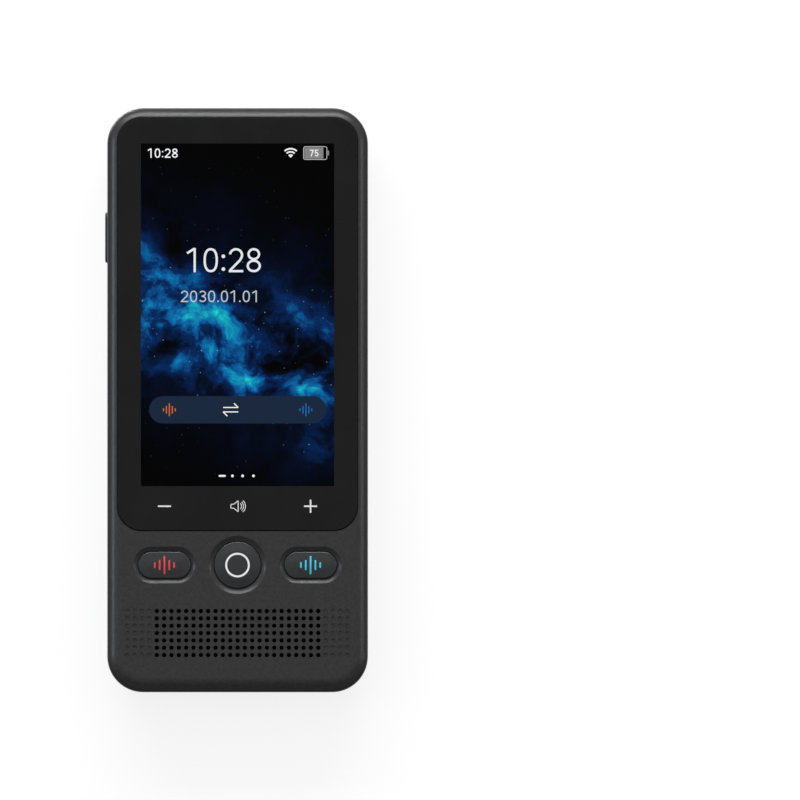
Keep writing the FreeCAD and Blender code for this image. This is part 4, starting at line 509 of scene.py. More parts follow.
@dataclass(frozen=True)
class CoatedGlass(Finish):
    """Optical glass with an anti-reflection coat: nearly black, with a painted violet reflection towards its
    rim.
    """

    colour: str = "#06060c"
    # The coat's violet reflection, painted into the base colour as a ring.
    painted_reflection: str = "#2a1f5c"
    rim: str = "#0a0a12"
    centre: tuple[float, float] = (0.0, 0.0)
    radius: float = 3.0
    roughness: float = 0.04
    reflection: float = 0.12

    def fill(self, tree: bpy.types.NodeTree, shader: bpy.types.Node, place: bpy.types.NodeSocket) -> None:
        """The coat's violet reflection is painted into the base colour, in a ring between the pupil and the
        rim, by the distance from the lens's axis.

        Args:
            tree: The material's node tree.
            shader: Its main shader.
            place: Where on the object the surface is.
        """
        shader.inputs["IOR"].default_value = 1.6
        shader.inputs["Roughness"].default_value = self.roughness
        shader.inputs["Specular IOR Level"].default_value = self.reflection
        share = add_node(tree, "MapRange", inputs={"Value": from_axis(tree, place, self.centre),
                                                   "From Max": self.radius * MM})
        ramp = add_node(tree, "ValToRGB", inputs={"Fac": share.outputs["Result"]})
        # The middle stop is the painted violet reflection of the coat.
        set_ramp(ramp, [(0.25, self.colour), (0.6, self.painted_reflection), (0.95, self.rim)])
        tree.links.new(ramp.outputs["Color"], shader.inputs["Base Color"])


@dataclass(frozen=True)
class BackPrintedGlass(Finish):
    """Toughened glass with black ink on its back and a lit picture in the ink's window.

    The picture is a bank of blue and teal cloud with stars on black. It fills the window's middle and
    runs off to the left, and is worked out from noise alone.
    """

    window: tuple[float, float, float, float] = (-21.83, 21.83, -19.42, 57.99)
    ink: tuple[str, str] = ("#1d1d1e", "#212122")
    smear: float = 14.0
    gloss: tuple[float, float] = (0.04, 0.09)
    cloud: float = 17.0
    cloud_warp: float = 16.0
    cloud_detail: float = 11.9
    cloud_colours: tuple[tuple[float, str], ...] = ((0.0, "#000000"), (0.16, "#020b22"), (0.34, "#04285c"),
                                                    (0.5, "#0a64a4"), (0.68, "#14a8bc"), (0.86, "#2af4e4"))
    band_slope: float = -0.42
    band_middle: float = 17.0
    band_width: float = 17.0
    star: float = 1.25
    star_colour: str = "#a8d8ff"
    star_core: tuple[float, float] = (0.13, 0.05)

    def fill(self, tree: bpy.types.NodeTree, shader: bpy.types.Node, place: bpy.types.NodeSocket) -> None:
        """Ink shows outside the window, black with the picture's light inside it.

        Args:
            tree: The material's node tree.
            shader: Its main shader.
            place: Where on the object the surface is.
        """
        shader.inputs["IOR"].default_value = 1.5
        smear = add_node(tree, "TexNoise", inputs={"Vector": place, "Scale": per_mm(self.smear),
                                                   "Detail": 3.0})
        gloss = add_node(tree, "MapRange", inputs={"Value": smear.outputs["Fac"], "From Min": 0.35,
                                                   "From Max": 0.7, "To Min": self.gloss[0],
                                                   "To Max": self.gloss[1]})
        tree.links.new(gloss.outputs["Result"], shader.inputs["Roughness"])
        inside = self.window_mask(tree, place)
        ink = add_node(tree, "ValToRGB", inputs={"Fac": smear.outputs["Fac"]})
        set_ramp(ink, [(0.3, self.ink[0]), (0.7, self.ink[1])])
        base = add_node(tree, "Mix", {"data_type": "RGBA"}, {"Factor": inside, 6: ink.outputs["Color"],
                                                             7: linear("#000000")})
        tree.links.new(base.outputs[2], shader.inputs["Base Color"])
        tree.links.new(self.picture(tree, place), shader.inputs["Emission Color"])
        tree.links.new(inside, shader.inputs["Emission Strength"])

    def window_mask(self, tree: bpy.types.NodeTree, place: bpy.types.NodeSocket) -> bpy.types.NodeSocket:
        """Give 1 inside the window and 0 outside it.

        Args:
            tree: The node tree.
            place: Where on the object the surface is.

        Returns:
            The mask's socket: the product of one step along X and one along Y.
        """
        left, right, low, high = (side * MM for side in self.window)
        parts = add_node(tree, "SeparateXYZ", inputs={"Vector": place})
        steps = []
        for axis, start, end in (("X", left, right), ("Y", low, high)):
            away = add_node(tree, "Math", {"operation": "SUBTRACT"},
                            {0: parts.outputs[axis], 1: (start + end) / 2})
            size = add_node(tree, "Math", {"operation": "ABSOLUTE"}, {0: away.outputs[0]})
            steps.append(add_node(tree, "Math", {"operation": "LESS_THAN"},
                                  {0: size.outputs[0], 1: (end - start) / 2}).outputs[0])
        return add_node(tree, "Math", {"operation": "MULTIPLY"}, {0: steps[0], 1: steps[1]}).outputs[0]

    def picture(self, tree: bpy.types.NodeTree, place: bpy.types.NodeSocket) -> bpy.types.NodeSocket:
        """Work out the cloud bank and the stars.

        The cloud's density is a bell curve across a sloping band times a warped fractal noise, and the
        colour runs from black over navy and blue to teal as it grows. Stars are the small middles of a
        few cells of a cell noise, brighter in some than in others.

        Args:
            tree: The node tree.
            place: Where on the object the surface is.

        Returns:
            The picture's colour.
        """
        warp = add_node(tree, "TexNoise", inputs={"Vector": place, "Scale": per_mm(self.cloud),
                                                  "Detail": 4.0})
        push = add_node(tree, "VectorMath", {"operation": "SCALE"},
                        {0: warp.outputs["Color"], "Scale": self.cloud_warp * MM})
        warped = add_node(tree, "VectorMath", {"operation": "ADD"}, {0: place, 1: push.outputs[0]})
        cloud = add_node(tree, "TexNoise", inputs={"Vector": warped.outputs[0],
                                                   "Scale": per_mm(self.cloud_detail), "Detail": 9.0,
                                                   "Roughness": 0.62})
        parts = add_node(tree, "SeparateXYZ", inputs={"Vector": warped.outputs[0]})
        slope = add_node(tree, "Math", {"operation": "MULTIPLY"}, {0: parts.outputs["X"], 1: self.band_slope})
        ridge = add_node(tree, "Math", {"operation": "ADD"},
                         {0: slope.outputs[0], 1: (self.band_middle + self.cloud_warp / 2) * MM})
        away = add_node(tree, "Math", {"operation": "SUBTRACT"}, {0: parts.outputs["Y"], 1: ridge.outputs[0]})
        share = add_node(tree, "Math", {"operation": "DIVIDE"}, {0: away.outputs[0], 1: self.band_width * MM})
        square = add_node(tree, "Math", {"operation": "POWER"}, {0: share.outputs[0], 1: 2.0})
        minus = add_node(tree, "Math", {"operation": "MULTIPLY"}, {0: square.outputs[0], 1: -1.0})
        bell = add_node(tree, "Math", {"operation": "EXPONENT"}, {0: minus.outputs[0]})
        sharp = add_node(tree, "MapRange", inputs={"Value": cloud.outputs["Fac"], "From Min": 0.34,
                                                   "From Max": 0.72})
        density = add_node(tree, "Math", {"operation": "MULTIPLY"},
                           {0: bell.outputs[0], 1: sharp.outputs["Result"]})
        colour = add_node(tree, "ValToRGB", inputs={"Fac": density.outputs[0]})
        set_ramp(colour, self.cloud_colours)
        cells = add_node(tree, "TexVoronoi", inputs={"Vector": place, "Scale": per_mm(self.star)})
        core = add_node(tree, "MapRange", inputs={"Value": cells.outputs["Distance"],
                                                  "From Min": self.star_core[0],
                                                  "From Max": self.star_core[1]})
        few = add_node(tree, "MapRange", inputs={"Value": cells.outputs["Color"], "From Min": 0.62,
                                                 "From Max": 0.95})
        near = add_node(tree, "MapRange", inputs={"Value": bell.outputs[0], "To Min": 0.05, "To Max": 0.9})
        bright = add_node(tree, "Math", {"operation": "MULTIPLY"},
                          {0: core.outputs["Result"], 1: few.outputs["Result"]})
        stars = add_node(tree, "Math", {"operation": "MULTIPLY"},
                         {0: bright.outputs[0], 1: near.outputs["Result"]})
        starry = add_node(tree, "Mix", {"data_type": "RGBA", "blend_type": "ADD"},
                          {"Factor": stars.outputs[0], 6: colour.outputs["Color"],
                           7: linear(self.star_colour)})
        return starry.outputs[2]


def circle(radius: float, count: int, centre: tuple[float, float] = (0.0, 0.0)) -> np.ndarray:
    """Points at equal angles on a circle, anticlockwise, one row each."""
    turn = np.linspace(0, 2 * np.pi, count, endpoint=False)
    return np.stack([centre[0] + radius * np.cos(turn), centre[1] + radius * np.sin(turn)], axis=-1)


def rounded(width: float, height: float, radius: float, centre: tuple[float, float],
            steps: int = 8) -> np.ndarray:
    """Outline of a rectangle with round corners.

    Each corner is a quarter circle of the given radius about a point that far in from both sides.

    Args:
        width: Its size along X.
        height: Its size along Y.
        radius: The corners' radius.
        centre: Its middle.
        steps: Points on each corner, less one.

    Returns:
        Points anticlockwise, one row each.
    """
    quarter = np.linspace(0, np.pi / 2, steps + 1)
    turn = (quarter[None, :] + np.arange(4)[:, None] * np.pi / 2).ravel()
    side_x = np.repeat([1, -1, -1, 1], steps + 1) * (width / 2 - radius)
    side_y = np.repeat([1, 1, -1, -1], steps + 1) * (height / 2 - radius)
    return np.stack([centre[0] + side_x + radius * np.cos(turn),
                     centre[1] + side_y + radius * np.sin(turn)], axis=-1)


def oval(centre: tuple[float, float], radii: tuple[float, float], start: float = 0.0, end: float = 360.0,
         count: int = 33, squareness: float = 1.0) -> np.ndarray:
    """Points on an oval between two angles.

    The point at angle a is the centre plus the radii times cos a and sin a, each raised to the
    squareness with its sign kept. Under 1 the oval fills its corners more.

    Args:
        centre: The oval's middle.
        radii: Its reach along X and along Y.
        start: The first angle in degrees.
        end: The last angle. A whole turn closes the oval.
        count: The number of points.
        squareness: The power, 1 for an ellipse.

    Returns:
        The points, one row each.
    """
    turn = np.radians(np.linspace(start, end, count))
    across, up = np.cos(turn), np.sin(turn)
    return np.stack([centre[0] + radii[0] * np.sign(across) * np.abs(across) ** squareness,
                     centre[1] + radii[1] * np.sign(up) * np.abs(up) ** squareness], axis=-1)


def line(start: tuple[float, float], end: tuple[float, float], count: int = 3) -> np.ndarray:
    """Points evenly along a straight line."""
    return np.linspace(start, end, count)


@dataclass(frozen=True)
class Stroke:
    """A pen line of even width: the points of its middle line and how wide it is, in millimetres."""

    path: np.ndarray
    width: float

    def closed(self) -> bool:
        """Tell whether the line ends where it starts."""
        return bool(np.allclose(self.path[0], self.path[-1], atol=1e-6)) and len(self.path) > 3

    def rings(self, low: float, high: float) -> np.ndarray:
        """Carry an upright rectangle along the line.

        Each point goes half the width to the line's right and to its left, low and high.

        Args:
            low: The underside's height.
            high: The top's height.

        Returns:
            Four points for each point of the line.
        """
        if self.closed():
            path = self.path[:-1]
            along = np.roll(path, -1, axis=0) - np.roll(path, 1, axis=0)
        else:
            path = self.path
            along = np.gradient(path, axis=0)
        along = along / np.linalg.norm(along, axis=1, keepdims=True)
        side = np.stack([along[:, 1], -along[:, 0]], axis=-1) * self.width / 2
        level = np.ones((len(path), 1))
        corners = [np.hstack([path + side, low * level]), np.hstack([path + side, high * level]),
                   np.hstack([path - side, high * level]), np.hstack([path - side, low * level])]
        return np.stack(corners, axis=1)


@dataclass(frozen=True)
class Numerals:
    """Plain numerals drawn with a pen of even width, as a screen shows them."""

    height: float
    pen: float
    wide: float = 0.56
    gap: float = 0.13
    point_wide: float = 0.16
    point_radius: float = 0.075

    def strokes_of(self, character: str) -> list[np.ndarray]:
        """Give the pen's lines for one digit in a cell that is 1 high.

        Args:
            character: A digit.

        Returns:
            The lines, drawn half a pen inside the cell.
        """
        pen = self.pen / self.height / 2
        wide, middle, top = self.wide, self.wide / 2, 1 - pen
        across = middle - pen
        shapes = {
            "0": [oval((middle, 0.5), (across, 0.5 - pen), squareness=0.84)],
            "1": [line((0.1 * wide, 0.79), (0.62 * wide, 0.985)),
                  line((0.62 * wide, 0.0), (0.62 * wide, 1.0))],
            "2": [np.concatenate([oval((middle, 0.71), (across, 0.29 - pen), 172, -36, 21),
                                  line((0.78 * wide, 0.5), (pen, 1.6 * pen), 6)]),
                  line((0.0, pen), (wide, pen))],
            "3": [oval((middle, 0.745), (0.94 * across, 0.255 - pen), 158, -88, 21),
                  oval((middle, 0.27), (across, 0.27 - pen), 88, -158, 21),
                  line((0.36 * wide, 0.515), (0.52 * wide, 0.515))],
            "5": [line((0.2 * wide, top), (0.92 * wide, top)), line((0.22 * wide, 1.0), (0.13 * wide, 0.47)),
                  oval((middle, 0.315), (across, 0.315 - pen), 142, -158, 25)],
            "7": [line((0.0, top), (wide, top)), line((wide - pen, top), (0.3 * wide, 0.0))],
            "8": [oval((middle, 0.75), (0.87 * across, 0.25 - pen)),
                  oval((middle, 0.262), (across, 0.262 - pen))],
        }
        return shapes[character]

    def draw(self, characters: str, left: float, low: float,
             width: float) -> tuple[list[np.ndarray], list[Stroke]]:
        """Set a row of digits, colons and full stops so that it fills a width.

        Args:
            characters: The row.
            left: Its left end in millimetres.
            low: Its lower edge.
            width: Its width.

        Returns:
            The dots' outlines and the pen's lines.
        """
        wides = np.array([self.point_wide if mark in ":." else self.wide for mark in characters])
        starts = np.concatenate([[0.0], np.cumsum(wides + self.gap)[:-1]])
        scale = np.array([width / (starts[-1] + wides[-1]), self.height])
        dots, strokes = [], []
        for mark, start in zip(characters, starts):
            if mark in ":.":
                levels = (0.13, 0.66) if mark == ":" else (self.point_radius,)
                middle = left + (start + self.point_wide / 2) * scale[0]
                dots += [circle(self.point_radius * self.height, 20, (middle, low + level * self.height))
                         for level in levels]
            else:
                strokes += [Stroke((path + (start, 0)) * scale + (left, low), self.pen)
                            for path in self.strokes_of(mark)]
        return dots, strokes


def finish_mesh(mesh: bpy.types.Mesh, smooth_angle: float) -> None:
    """Merge doubled points, turn all faces outwards and smooth across edges under an angle.

    Args:
        mesh: The mesh to change.
        smooth_angle: In degrees. A sharper edge stays sharp.
    """
    work = bmesh.new()
    work.from_mesh(mesh)
    bmesh.ops.remove_doubles(work, verts=work.verts, dist=2e-7)
    bmesh.ops.recalc_face_normals(work, faces=work.faces)
    work.to_mesh(mesh)
    work.free()
    mesh.polygons.foreach_set("use_smooth", np.ones(len(mesh.polygons), bool))
    mesh.set_sharp_from_angle(angle=math.radians(smooth_angle))
    mesh.update()


def new_piece(name: str, points: np.ndarray, faces: Sequence[Sequence[int]], smooth_angle: float = 35.0
              ) -> bpy.types.Object:
    """Make an object of points in millimetres, with its place in its mesh.

    Args:
        name: The piece's name.
        points: One row of X, Y, Z for each point.
        faces: The points of each face.
        smooth_angle: In degrees, for finish_mesh.

    Returns:
        The new object, linked to the scene.
    """
    mesh = bpy.data.meshes.new(name)
    mesh.from_pydata((points * MM).tolist(), [], faces)
    finish_mesh(mesh, smooth_angle)
    piece = bpy.data.objects.new(name, mesh)
    bpy.context.scene.collection.objects.link(piece)
    return piece


def shade_curves(mesh: bpy.types.Mesh, limit: float) -> None:
    """Give every corner a normal that keeps flat faces flat and makes curved ones smooth.

    A face square to an axis keeps its own normal. Any other corner takes the sum of the normals of the
    faces round its point that lie within the limit of its own face's, each times its area.

    Args:
        mesh: A merged mesh.
        limit: The widest angle between faces of one curve, in degrees.
    """
    normals = np.zeros(len(mesh.polygons) * 3)
    mesh.polygons.foreach_get("normal", normals)
    normals = normals.reshape(-1, 3)
    areas, totals = np.zeros(len(mesh.polygons)), np.zeros(len(mesh.polygons), int)
    mesh.polygons.foreach_get("area", areas)
    mesh.polygons.foreach_get("loop_total", totals)
    point = np.zeros(len(mesh.loops), int)
    mesh.loops.foreach_get("vertex_index", point)
    face = np.repeat(np.arange(len(mesh.polygons)), totals)
    order = np.argsort(point, kind="stable")
    around = np.bincount(point, minlength=len(mesh.vertices))
    first = np.cumsum(around) - around
    reach = around[point]
    own = np.repeat(np.arange(len(point)), reach)
    step = np.arange(len(own)) - np.repeat(np.cumsum(reach) - reach, reach)
    other = order[first[point[own]] + step]
    near = np.einsum("ij,ij->i", normals[face[own]], normals[face[other]]) > math.cos(math.radians(limit))
    weight = areas[face[other]] * near
    summed = np.stack([np.bincount(own, weight * normals[face[other], axis], len(point))
                       for axis in range(3)], -1)
    flat = (np.abs(normals).max(axis=1) > 0.99999)[face]
    summed[flat] = normals[face][flat]
    summed /= np.linalg.norm(summed, axis=1, keepdims=True)
    mesh.normals_split_custom_set(summed.tolist())


def raised(name: str, outlines: Sequence[np.ndarray], strokes: Sequence[Stroke], low: float, high: float
           ) -> bpy.types.Object:
    """Make thin slabs and pen lines of one height.

    An outline becomes two copies of itself, low and high, joined all round. A pen line is a rectangle
    carried along it, with both ends capped where it is open.

    Args:
        name: The piece's name.
        outlines: Anticlockwise outlines in millimetres, to be filled.
        strokes: Pen lines.
        low: The height of every underside.
        high: The height of every top.

    Returns:
        One object with all of them.
    """
    points, faces, start = [], [], 0
    for outline in outlines:
        count = len(outline)
        points.append(np.column_stack([np.tile(outline, (2, 1)), np.repeat([low, high], count)]))
        ring = np.arange(count)
        after = (ring + 1) % count
        sides = np.stack([ring, after, after + count, ring + count], axis=-1) + start
        faces += sides.tolist() + [(ring[::-1] + start).tolist(), (ring + count + start).tolist()]
        start += 2 * count
    for stroke in strokes:
        rings = stroke.rings(low, high)
        points.append(rings.reshape(-1, 3))
        faces += (wrapped_faces(len(rings), 4, stroke.closed()) + start).tolist()
        if not stroke.closed():
            last = start + 4 * (len(rings) - 1)
            faces += [[start + 3, start + 2, start + 1, start], [last, last + 1, last + 2, last + 3]]
        start += 4 * len(rings)
    return new_piece(name, np.concatenate(points), faces)


def hoop(name: str, outer: np.ndarray, inner: np.ndarray, low: float, high: float) -> bpy.types.Object:
    """Make a flat closed hoop between two outlines with as many points each.

    The four rings (outer low, outer high, inner high, inner low) are joined to one another in turn.

    Args:
        name: The piece's name.
        outer: The outer outline in millimetres.
        inner: The inner outline.
        low: The underside's height.
        high: The top's height.

    Returns:
        The new object.
    """
    rings = [(outer, low), (outer, high), (inner, high), (inner, low)]
    points = np.concatenate([np.column_stack([ring, np.full(len(ring), z)]) for ring, z in rings])
    return new_piece(name, points, wrapped_faces(4, len(outer), True).tolist())


def wrapped_faces(rows: int, columns: int, wrap_rows: bool) -> np.ndarray:
    """Quads over rows of points that each close on themselves.

    Args:
        rows: The number of rows.
        columns: The points in each row.
        wrap_rows: Whether the last row joins the first.

    Returns:
        Four point numbers for each quad.
    """
    row = np.arange(rows if wrap_rows else rows - 1)[:, None]
    column = np.arange(columns)[None, :]
    after_row, after_column = (row + 1) % rows, (column + 1) % columns
    corners = [row * columns + column, row * columns + after_column,
               after_row * columns + after_column, after_row * columns + column]
    return np.stack(corners, axis=-1).reshape(-1, 4)


def turned(name: str, profile: np.ndarray, centre: tuple[float, float], count: int = 96,
           smooth_angle: float = 35.0) -> bpy.types.Object:
    """Turn a closed profile about an upright axis.

    A point at radius r and height z goes to (centre + r cos a, centre + r sin a, z) for every angle a.
    Points on the axis fall together and are merged.

    Args:
        name: The piece's name.
        profile: Rows of radius and height in millimetres, from the axis or round a closed section.
        centre: The axis's place.
        count: Steps round.
        smooth_angle: In degrees, for finish_mesh.

    Returns:
        The new object.
    """
    turn = np.linspace(0, 2 * np.pi, count, endpoint=False)
    radius, height = profile[:, :1], profile[:, 1:]
    points = np.stack([centre[0] + radius * np.cos(turn), centre[1] + radius * np.sin(turn),
                       np.broadcast_to(height, (len(profile), count))], axis=-1).reshape(-1, 3)
    closed = profile[0, 0] > 1e-6
    return new_piece(name, points, wrapped_faces(len(profile), count, closed).tolist(), smooth_angle)


def smooth_copy(node: str, name: str, smooth_angle: float = 22.0) -> bpy.types.Object:
    """Copy a CAD node's mesh, join its loose triangles and smooth its curved faces.

    Args:
        node: The CAD node.
        name: The new piece's name.
        smooth_angle: In degrees. Edges between the strips of a curve lie under it, real edges over it.

    Returns:
        The copy, which stands for the node.
    """
    mesh = bpy.data.objects[node].data.copy()
    mesh.name = name
    mesh.materials.clear()
    finish_mesh(mesh, smooth_angle)
    shade_curves(mesh, smooth_angle)
    piece = bpy.data.objects.new(name, mesh)
    bpy.context.scene.collection.objects.link(piece)
    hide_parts(node)
    return piece


@dataclass
class Assembly:
    """What every sub-assembly shares: how it dresses nodes and hands over its pieces."""

    title: ClassVar[str] = "assembly"
    pieces: list[bpy.types.Object] = field(default_factory=list, init=False)

    def add(self, piece: bpy.types.Object, finish: Finish, body: Body, slot: str) -> bpy.types.Object:
        """Give a new piece its finish and its body.

        Args:
            piece: The new piece.
            finish: Its finish.
            body: The body that it moves with.
            slot: Not used.

        Returns:
            The same piece.
        """
        piece.data.materials.clear()
        piece.data.materials.append(finish.material())
        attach(piece, body.value)
        self.pieces.append(piece)
        log.info("%s: %s, %s", self.title, piece.name, finish.name)
        return piece

    def dress(self, node: str, finish: Finish) -> None:
        """Give a CAD node that stays in view its finish.

        Args:
            node: The node's name.
            finish: Its finish.
        """
        kept = bpy.data.objects[node]
        kept.data.materials.clear()
        kept.data.materials.append(finish.material())
        log.info("%s: node %s, %s", self.title, node, finish.name)

    def build(self) -> None:
        """Make the pieces."""
        raise NotImplementedError


@dataclass
class Casing(Assembly):
    """The front and rear covers."""

    front: Finish = SparkTexturedPlastic("matt moulded front")
    rear: Finish = SprayedSatinPaint("satin painted rear")
    title: ClassVar[str] = "casing"

    def build(self) -> None:
        """Both covers are the CAD's own shapes, with their curved edges smoothed."""
        self.add(smooth_copy("front_cover", "front_shell"), self.front, Body.CASING, "front_plastic")
        self.add(smooth_copy("rear_cover", "rear_shell"), self.rear, Body.CASING, "rear_paint")


@dataclass
class Screen(Assembly):
    """The cover glass, what the display shows and what is printed on the glass, and the display under it.

    The places are the symbols' boxes on the glass in millimetres, from the device's middle: left, right,
    low and high.
    """

    side_border: float = 5.32
    top_border: float = 5.94
    bottom_border: float = 10.07
    symbol_rise: float = 0.012
    status_time: tuple[float, float, float, float] = (-20.35, -13.5, 54.75, 56.85)
    network_place: tuple[float, float] = (12.0, 54.75)
    network_angles: tuple[float, float] = (48, 132)
    network_waves: tuple[float, ...] = (1.35, 2.05)
    network_root: float = 0.8
    network_pen: float = 0.34
    battery: tuple[float, float, float, float] = (14.85, 20.25, 54.3, 57.35)
    battery_border: float = 0.15
    battery_corner: float = 0.5
    clock: tuple[float, float, float, float] = (-11.7, 5.3, 28.9, 34.35)
    date: tuple[float, float, float, float] = (-12.8, 4.85, 22.15, 24.75)
    bar_panel: tuple[float, float, float, float] = (-19.95, 20.05, -5.25, 0.92)
    wave_places: tuple[float, float] = (-15.4, 15.45)
    wave_heights: tuple[float, ...] = (0.75, 1.75, 2.95, 1.75, 0.75)
    wave_pitch: float = 0.66
    wave_width: float = 0.24
    swap_place: tuple[float, float] = (-1.55, -2.15)
    swap_width: float = 3.4
    swap_rise: float = 0.5
    swap_barb: float = 0.95
    swap_pen: float = 0.24
    page_line: float = -17.1
    page_dash: tuple[float, float] = (-4.25, -2.65)
    page_dash_height: float = 0.42
    page_dash_corner: float = 0.2
    page_dots: tuple[float, ...] = (-1.15, 1.15, 3.6)
    page_radius: float = 0.3
    key_row: float = -23.95
    key_side: float = 16.5
    key_stroke: float = 0.36
    key_size: float = 2.95
    horn_pen: float = 0.2
    arc_pen: float = 0.17
    arc_radii: tuple[float, ...] = (0.85, 1.3, 1.75)
    title: ClassVar[str] = "screen"

    def build(self) -> None:
        """Read the glass's box, then make the glass and all that lies on it."""
        low, high = (np.array(corner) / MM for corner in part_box("cover_glass"))
        self.top = float(high[2])
        window = (low[0] + self.side_border, high[0] - self.side_border,
                  low[1] + self.bottom_border, high[1] - self.top_border)
        glass = BackPrintedGlass("back-printed cover glass", tuple(float(side) for side in window))
        self.add(smooth_copy("cover_glass", "screen_glass"), glass, Body.CASING, "screen_glass")
        self.white = LitPixels("white pixels")
        self.build_status_row()
        self.build_clock()
        self.build_bar()
        self.build_pages()
        self.build_touch_symbols()
        self.dress("glass_adhesive", Film("foam tape", ("#111112", "#161617"), 0.6, 0.01, (0.7, 0.8)))
        self.dress("display_panel", Film("polariser film", ("#08090b", "#0b0c0f"), 6.0, 0.002, (0.12, 0.18)))
        self.dress("light_guide",
                   Film("clear acrylic guide", ("#c9d2d4", "#d6dedf"), 3.0, 0.004, (0.1, 0.16)))
        self.dress("backlight_tray",
                   WorkedMetal("stamped tray steel", ("#8f9194", "#9b9da0"), Spread.ALONG_X))
        self.dress("display_strip", Film("polyimide strip", ("#2a1d0e", "#38270f"), 1.2, 0.01, (0.3, 0.4)))

    def lay(self, piece: bpy.types.Object, finish: Finish) -> None:
        """Add a symbol to the glass."""
        self.add(piece, finish, Body.CASING, "screen_glass")

    def levels(self, layer: int = 0) -> tuple[float, float]:
        """Give the underside and top of a symbol on the glass, or of one on top of it."""
        return self.top + layer * self.symbol_rise, self.top + (layer + 1) * self.symbol_rise

    def build_status_row(self) -> None:
        """The small time, the network fan and the battery, along the screen's top."""
        self.write("status_digits", "10:28", self.status_time, 0.27, self.white)
        centre, (start, end) = self.network_place, self.network_angles
        waves = [Stroke(oval(centre, (radius, radius), start, end, 17), self.network_pen)
                 for radius in self.network_waves]
        root = np.concatenate([[centre], oval(centre, (self.network_root, self.network_root), start, end, 9)])
        self.lay(raised("network_fan", [root], waves, *self.levels()), self.white)
        left, right, low, high = self.battery
        middle = ((left + right) / 2, (low + high) / 2)
        width, height, border = right - left, high - low, self.battery_border
        outline = hoop("battery_outline", rounded(width, height, self.battery_corner, middle),
                       rounded(width - 2 * border, height - 2 * border, self.battery_corner - border, middle),
                       *self.levels())
        self.lay(outline, LitPixels("pale pixels", "#c8c8c8"))
        charge = rounded(width - 1.1, height - 0.5, 0.25, (middle[0] - 0.3, middle[1]))
        nub = rounded(0.36, 1.1, 0.1, (right + 0.24, middle[1]))
        self.lay(raised("battery_level", [charge, nub], [], *self.levels()),
                 LitPixels("grey pixels", "#8a8a8a"))
        box = (middle[0] - 1.2, middle[0] + 0.75, middle[1] - 0.75, middle[1] + 0.75)
        self.write("battery_digits", "75", box, 0.22, self.white, 1)

    def write(self, name: str, characters: str, box: tuple[float, float, float, float], pen: float,
              finish: Finish, layer: int = 0) -> None:
        """Lay a row of digits on the glass.

        Args:
            name: The piece's name.
            characters: Digits, colons and full stops.
            box: The row's left, right, low and high sides in millimetres.
            pen: The pen's width.
            finish: Its finish.
            layer: 0 on the glass, 1 on top of another symbol.
        """
        left, right, low, high = box
        dots, strokes = Numerals(high - low, pen).draw(characters, left, low, right - left)
        self.lay(raised(name, dots, strokes, *self.levels(layer)), finish)

    def build_clock(self) -> None:
        """The large time and the date under it."""
        self.write("clock_digits", "10:28", self.clock, 0.5, LitPixels("clock pixels", "#f0f4f6"))
        self.write("date_digits", "2030.01.01", self.date, 0.28, LitPixels("date pixels", "#c4ced6"))

    def build_bar(self) -> None:
        """The rounded bar near the foot of the picture, with two sound waves and a pair of arrows."""
        left, right, low, high = self.bar_panel
        middle = (low + high) / 2
        panel = rounded(right - left, high - low, (high - low) / 2, ((left + right) / 2, middle))
        self.lay(raised("bar_panel", [panel], [], *self.levels()), LitPixels("dark blue pixels", "#1b2a40"))
        for side, place, colour in (("left", self.wave_places[0], "#e07020"),
                                    ("right", self.wave_places[1], "#2070c0")):
            first = place - self.wave_pitch * (len(self.wave_heights) - 1) / 2
            bars = [rounded(self.wave_width, height, self.wave_width / 2 - 0.001,
                            (first + number * self.wave_pitch, middle), 4)
                    for number, height in enumerate(self.wave_heights)]
            self.lay(raised(side + "_wave", bars, [], *self.levels(1)),
                     LitPixels(side + " wave pixels", colour))
        x, y = self.swap_place
        arrows = []
        for side in (1, -1):
            start, tip = x - side * self.swap_width / 2, x + side * self.swap_width / 2
            rise, barb = y + side * self.swap_rise, side * self.swap_barb
            arrows += [Stroke(line((start, rise), (tip, rise)), self.swap_pen),
                       Stroke(line((tip, rise), (tip - barb, rise + barb)), self.swap_pen)]
        self.lay(raised("swap_arrows", [], arrows, *self.levels(1)), self.white)

    def build_pages(self) -> None:
        """A dash and three dots that count the pages."""
        start, end = self.page_dash
        marks = [rounded(end - start, self.page_dash_height, self.page_dash_corner,
                         ((start + end) / 2, self.page_line), 4)]
        marks += [circle(self.page_radius, 20, (x, self.page_line)) for x in self.page_dots]
        self.lay(raised("page_marks", marks, [], *self.levels()), self.white)

    def build_touch_symbols(self) -> None:
        """Minus, loudspeaker and plus, printed in white on the glass under the picture."""
        half, row = self.key_size / 2, self.key_row
        ink = PrintedInk("white screen print")
        across = [Stroke(line((x - half, row), (x + half, row)), self.key_stroke)
                  for x in (-self.key_side, self.key_side)]
        inner = self.key_stroke / 2
        arms = [Stroke(line((self.key_side, row + side * inner), (self.key_side, row + side * half)),
                       self.key_stroke) for side in (1, -1)]
        self.lay(raised("minus_symbol", [], across[:1], *self.levels()), ink)
        self.lay(raised("plus_symbol", [], across[1:] + arms, *self.levels()), ink)
        self.lay(raised("sound_symbol", [], self.sound_strokes(-0.05, row), *self.levels()), ink)

    def sound_strokes(self, x: float, y: float) -> list[Stroke]:
        """Give the pen lines of a loudspeaker's outline and its three sound arcs.

        Args:
            x: The horn's right edge.
            y: The middle height.

        Returns:
            The lines.
        """
        corners = np.array([[-1.45, -0.45], [-0.8, -0.45], [0.2, -1.25], [0.2, 1.25], [-0.8, 0.45],
                            [-1.45, 0.45], [-1.45, -0.45]]) + (x, y)
        horn = [Stroke(line(start, end), self.horn_pen) for start, end in zip(corners[:-1], corners[1:])]
        waves = [Stroke(oval((x + 0.1, y), (radius, radius), -48, 48, 13), self.arc_pen)
                 for radius in self.arc_radii]
        return horn + waves


